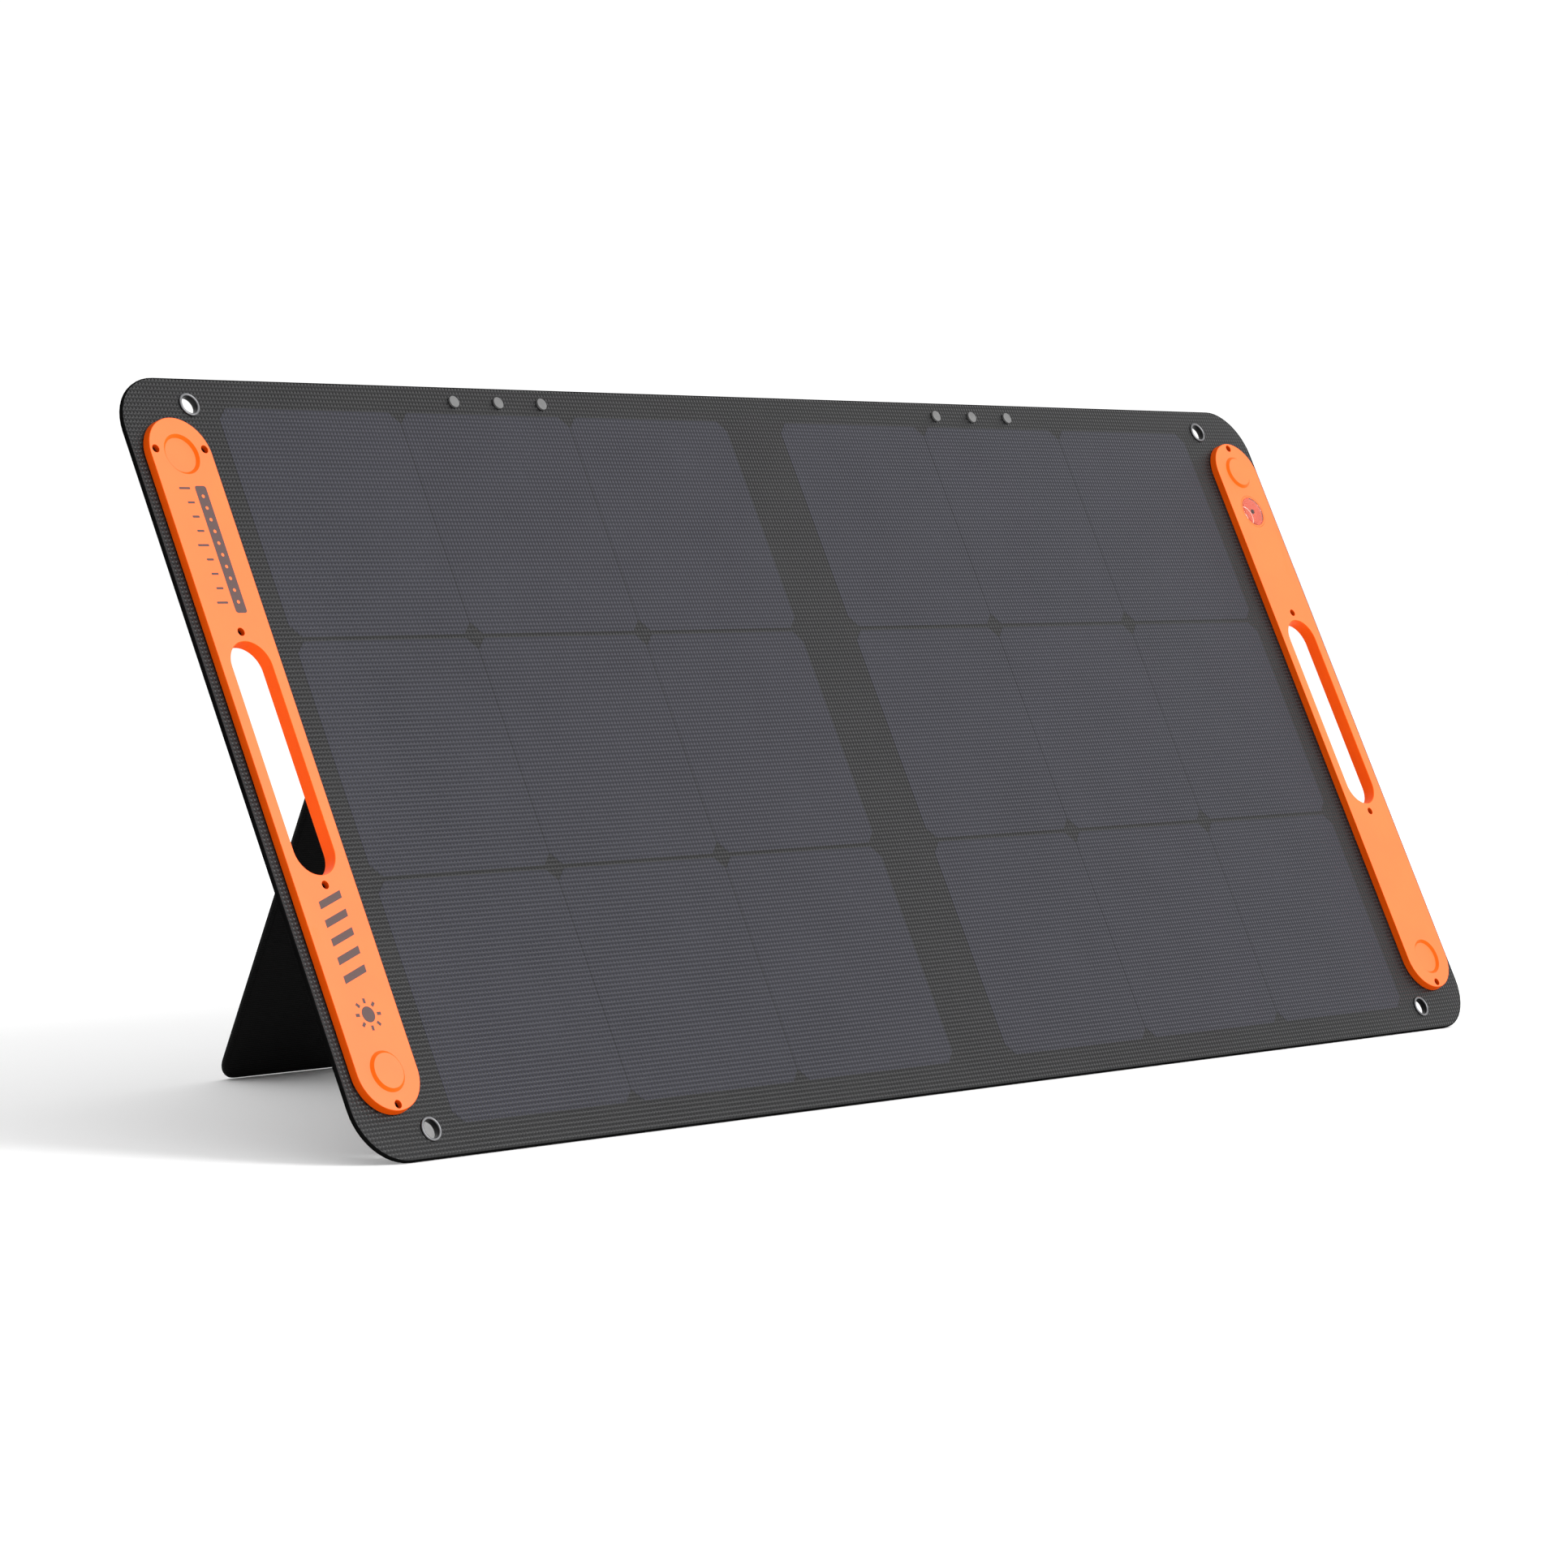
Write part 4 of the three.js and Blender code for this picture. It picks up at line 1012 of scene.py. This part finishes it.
def zip_tape():
    """Woven tape over the pouch, its two rows of teeth meshed down the middle."""
    tape = Build()
    half_x, half_y = TAPE_HALF
    outline = rounded(POCKET_X - half_x, ZIP_Y - half_y, POCKET_X + half_x, ZIP_Y + half_y, [1.5] * 4, 3)
    tape.wall(outline, [(-0.2, -19.42), (0, -19.5), (0, -19.62), (-0.2, -19.7)], "front", "back")
    slit = rounded(POCKET_X - 74, ZIP_Y - 0.15, POCKET_X + 74, ZIP_Y + 0.15, [0.1] * 4, 2)
    tape.wall(slit, [(0, -19.42), (0, -19.7)], "front", "back")
    tape.flat("front").flat("back")
    for k in range(98):
        side = 1 if k % 2 else -1
        x = POCKET_X - 73.5 + 1.515 * k
        y0, y1 = sorted((ZIP_Y - side * 0.8, ZIP_Y + side * 2.6))
        tooth = rounded(x - 0.55, y0, x + 0.55, y1, [0.4] * 4, 2)
        tape.wall(tooth, [(0, -19.72), (0, -20.1), (-0.15, -20.3)], "cap", "cap", mark=1)
    for x in (POCKET_X - 74.6, POCKET_X + 74.4):
        stop = rounded(x - 0.7, ZIP_Y - 2.8, x + 0.7, ZIP_Y + 2.8, [0.4] * 4, 2)
        tape.wall(stop, [(0, -19.72), (0, -20.2), (-0.2, -20.35)], "cap", "cap", mark=1)
    piece = tape.piece("pocket_zip_tape", [ZIP_TAPE, BLACK_PLASTIC], "right_half")
    stand_for(piece, "black_plastic", "pocket_zip")


def zip_slider():
    """Shield-shaped slider body with a pair of ears over it."""
    body = Build()
    plan = ((4.5, -3.4), (4.5, 3.4), (1.2, 6), (-2.8, 5.6), (-4.5, 3), (-4.5, -3), (-2.8, -5.6), (1.2, -6))

    def shield(grow=0.0):
        reach = 1 + grow / 5
        return [(SLIDER_X + x * reach, ZIP_Y + y * reach) for x, y in plan]
    body.wall(shield, [(-0.3, -20.4), (0, -20.7), (0, -22.4), (-0.3, -22.85), (-0.9, -23.0)], "cap", "cap")
    for side in (-1, 1):
        x = SLIDER_X + side * 2.9
        ear = rounded(x - 0.6, ZIP_Y - 1.5, x + 0.6, ZIP_Y + 1.5, [0.3] * 4, 3)
        body.wall(ear, [(0.2, -22.9), (0, -23.3), (0, -25.1), (-0.15, -25.5), (-0.35, -25.6)], "cap", "cap")
    piece = body.piece("pocket_zip_slider", [SLIDER_METAL], "zip_slider", sharp=40, weighted=True)
    stand_for(piece, "slider_metal", "zip_slider")


def zip_pull():
    """Moulded pull: slim neck with its pin, ribbed paddle with a cord hole near the tip."""
    hang = PLACE @ Matrix.Translation((SLIDER_X * MM, ZIP_Y * MM, -24.7 * MM)) @ Matrix.Rotation(LEAN, 4, "X")
    pull = Build()
    right = [(1.6, 0.9), (1.9, 0.3), (1.9, -4.2), (2.4, -5.2), (3.1, -6.2), (3.5, -8), (3.5, -23),
             (3.1, -24.8), (2.2, -25.7), (1.0, -26)]
    left = [(-x, y) for x, y in reversed(right)]
    outline = left[-1:] + right + left[:-1]

    def plan(grow=0.0):
        return [(x + math.copysign(min(abs(x), -grow), -x) if grow < 0 else x, y) for x, y in outline]
    thick = 0.6
    pull.wall(plan, [(-0.2, thick), (0, thick - 0.2), (0, 0.2 - thick), (-0.2, -thick)], "front", "back")
    hole = rounded(-1.1, -23.6, 1.1, -20.6, [1.0] * 4, 5)
    pull.wall(hole, [(0, thick), (0, -thick)], "front", "back")
    pull.flat("front").flat("back")
    for k in range(5):
        y = -9.5 - 2.2 * k
        rib = rounded(-2.6, y - 0.5, 2.6, y + 0.5, [0.4] * 4, 3)
        pull.wall(rib, [(0, -thick), (-0.2, -thick - 0.3)], "cap", "cap")
    piece = pull.piece("pocket_zip_pull", [BLACK_PLASTIC], "zip_pull", hang, 40, weighted=True)
    stand_for(piece, "black_plastic", "zip_pull")


# ---------- carried-over CAD nodes ----------
BOARD_CAD = moulded("stand_core_board", rgb(48, 48, 50), rgb(40, 40, 42), 0.7, 1.5, 0.05, "object")
PLASTIC_CAD = moulded("box_plastic", rgb(34, 34, 35), rgb(26, 26, 27), 0.5, 0.5, 0.02, "object")
SOCKET_CAD = metal("socket_steel", rgb(200, 200, 202), rgb(176, 176, 178), 0.25, (1, 4, 1), source="object")
CELL_CAD = solar_cell("solar_cell")
CIRCUIT_CAD = circuit_board("circuit_board")


def dress(node, material):
    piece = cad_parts[node]
    piece.data.materials.clear()
    piece.data.materials.append(material)


# ---------- assembly ----------
for name, sign in SIDES:
    board_core(name, sign)
    front_skin(name, sign)
    rear_skin(name, sign)
    handle_front(name, sign)
    handle_rear(name, sign)
    for number, (x, y) in enumerate(screw_places(sign), 1):
        handle_screw(f"{name}_bar_screw_{number}", x, y, f"{name}_half", f"{name}_handle_screw_{number}")
    for level, y, raised in disc_places(sign):
        magnet(name, sign, level, y, raised)
    for level, x, y in grommet_places(sign):
        grommet(name, level, x, y)
    for number, (x, y) in enumerate(rivet_places(sign), 1):
        rivet(name, number, x, y)
    stand(name, sign)
    stand_flap(name, sign)
    dress(f"{name}_cell_string", CELL_CAD)
handle_print()
sun_dial()
pocket()
zip_tape()
zip_slider()
zip_pull()
for node in ("output_box_base", "output_box_cover", "cable_gland"):
    dress(node, PLASTIC_CAD)
dress("output_circuit_board", CIRCUIT_CAD)
for node in ("usb_a_socket", "usb_c_socket"):
    dress(node, SOCKET_CAD)


# ---------- floor, light and camera ----------
# The surroundings glow most on the side that the film mirrors to the camera.
DOME_SIDE = Vector((0.75, -0.2, 0.63)).normalized()
DOME_LEVEL, DOME_SLOPE = 0.92, 0.4
KEY_PLACE, KEY_TARGET = Vector((2.9, -7.6, 4.6)), Vector((0, 0, 0.25))
KEY_SIZE, KEY_POWER = 4.4, 660


def studio():
    floor_data = bpy.data.meshes.new("floor")
    floor_data.from_pydata([(-60, -60, 0), (60, -60, 0), (60, 60, 0), (-60, 60, 0)], [], [(0, 1, 2, 3)])
    floor = bpy.data.objects.new("floor", floor_data)
    bpy.context.scene.collection.objects.link(floor)
    shade = Shade("studio_floor", "object")
    cloud = shade.noise(900, 2)
    shade.set(Base_Color=shade.mix(cloud, (0.94, 0.94, 0.94, 1), (0.96, 0.96, 0.96, 1)), Roughness=0.9)
    shade.set(Specular_IOR_Level=0.1)
    floor_data.materials.append(shade.material)

    world = bpy.data.worlds.new("studio")
    bpy.context.scene.world = world
    world.use_nodes = True
    tree = world.node_tree
    direction = tree.nodes.new("ShaderNodeTexCoord")
    toward = tree.nodes.new("ShaderNodeVectorMath")
    toward.operation = "DOT_PRODUCT"
    toward.inputs[1].default_value = DOME_SIDE
    tree.links.new(direction.outputs["Generated"], toward.inputs[0])
    level = tree.nodes.new("ShaderNodeMath")
    level.operation = "MULTIPLY_ADD"
    level.inputs[1].default_value, level.inputs[2].default_value = DOME_SLOPE, DOME_LEVEL
    tree.links.new(toward.outputs["Value"], level.inputs[0])
    tree.links.new(level.outputs[0], tree.nodes["Background"].inputs["Strength"])
    tree.nodes["Background"].inputs["Color"].default_value = (1, 1, 1, 1)

    lamp = bpy.data.lights.new("key", "AREA")
    lamp.shape, lamp.size, lamp.energy = "DISK", KEY_SIZE, KEY_POWER
    key = bpy.data.objects.new("key", lamp)
    key.location = KEY_PLACE
    key.rotation_euler = (KEY_TARGET - KEY_PLACE).to_track_quat("-Z", "Y").to_euler()
    bpy.context.scene.collection.objects.link(key)


def camera():
    data = bpy.data.cameras.new("camera")
    data.lens, data.sensor_width = 115.3, 36
    data.shift_y = -0.0323
    data.clip_start, data.clip_end = 0.05, 300
    eye = bpy.data.objects.new("camera", data)
    eye.location = (-2.7486, -2.42472, 0.3828)
    eye.rotation_euler = (math.radians(87.825), 0, math.radians(-48.936))
    bpy.context.scene.collection.objects.link(eye)
    bpy.context.scene.camera = eye


studio()
camera()
bpy.context.scene.view_settings.view_transform = "Standard"
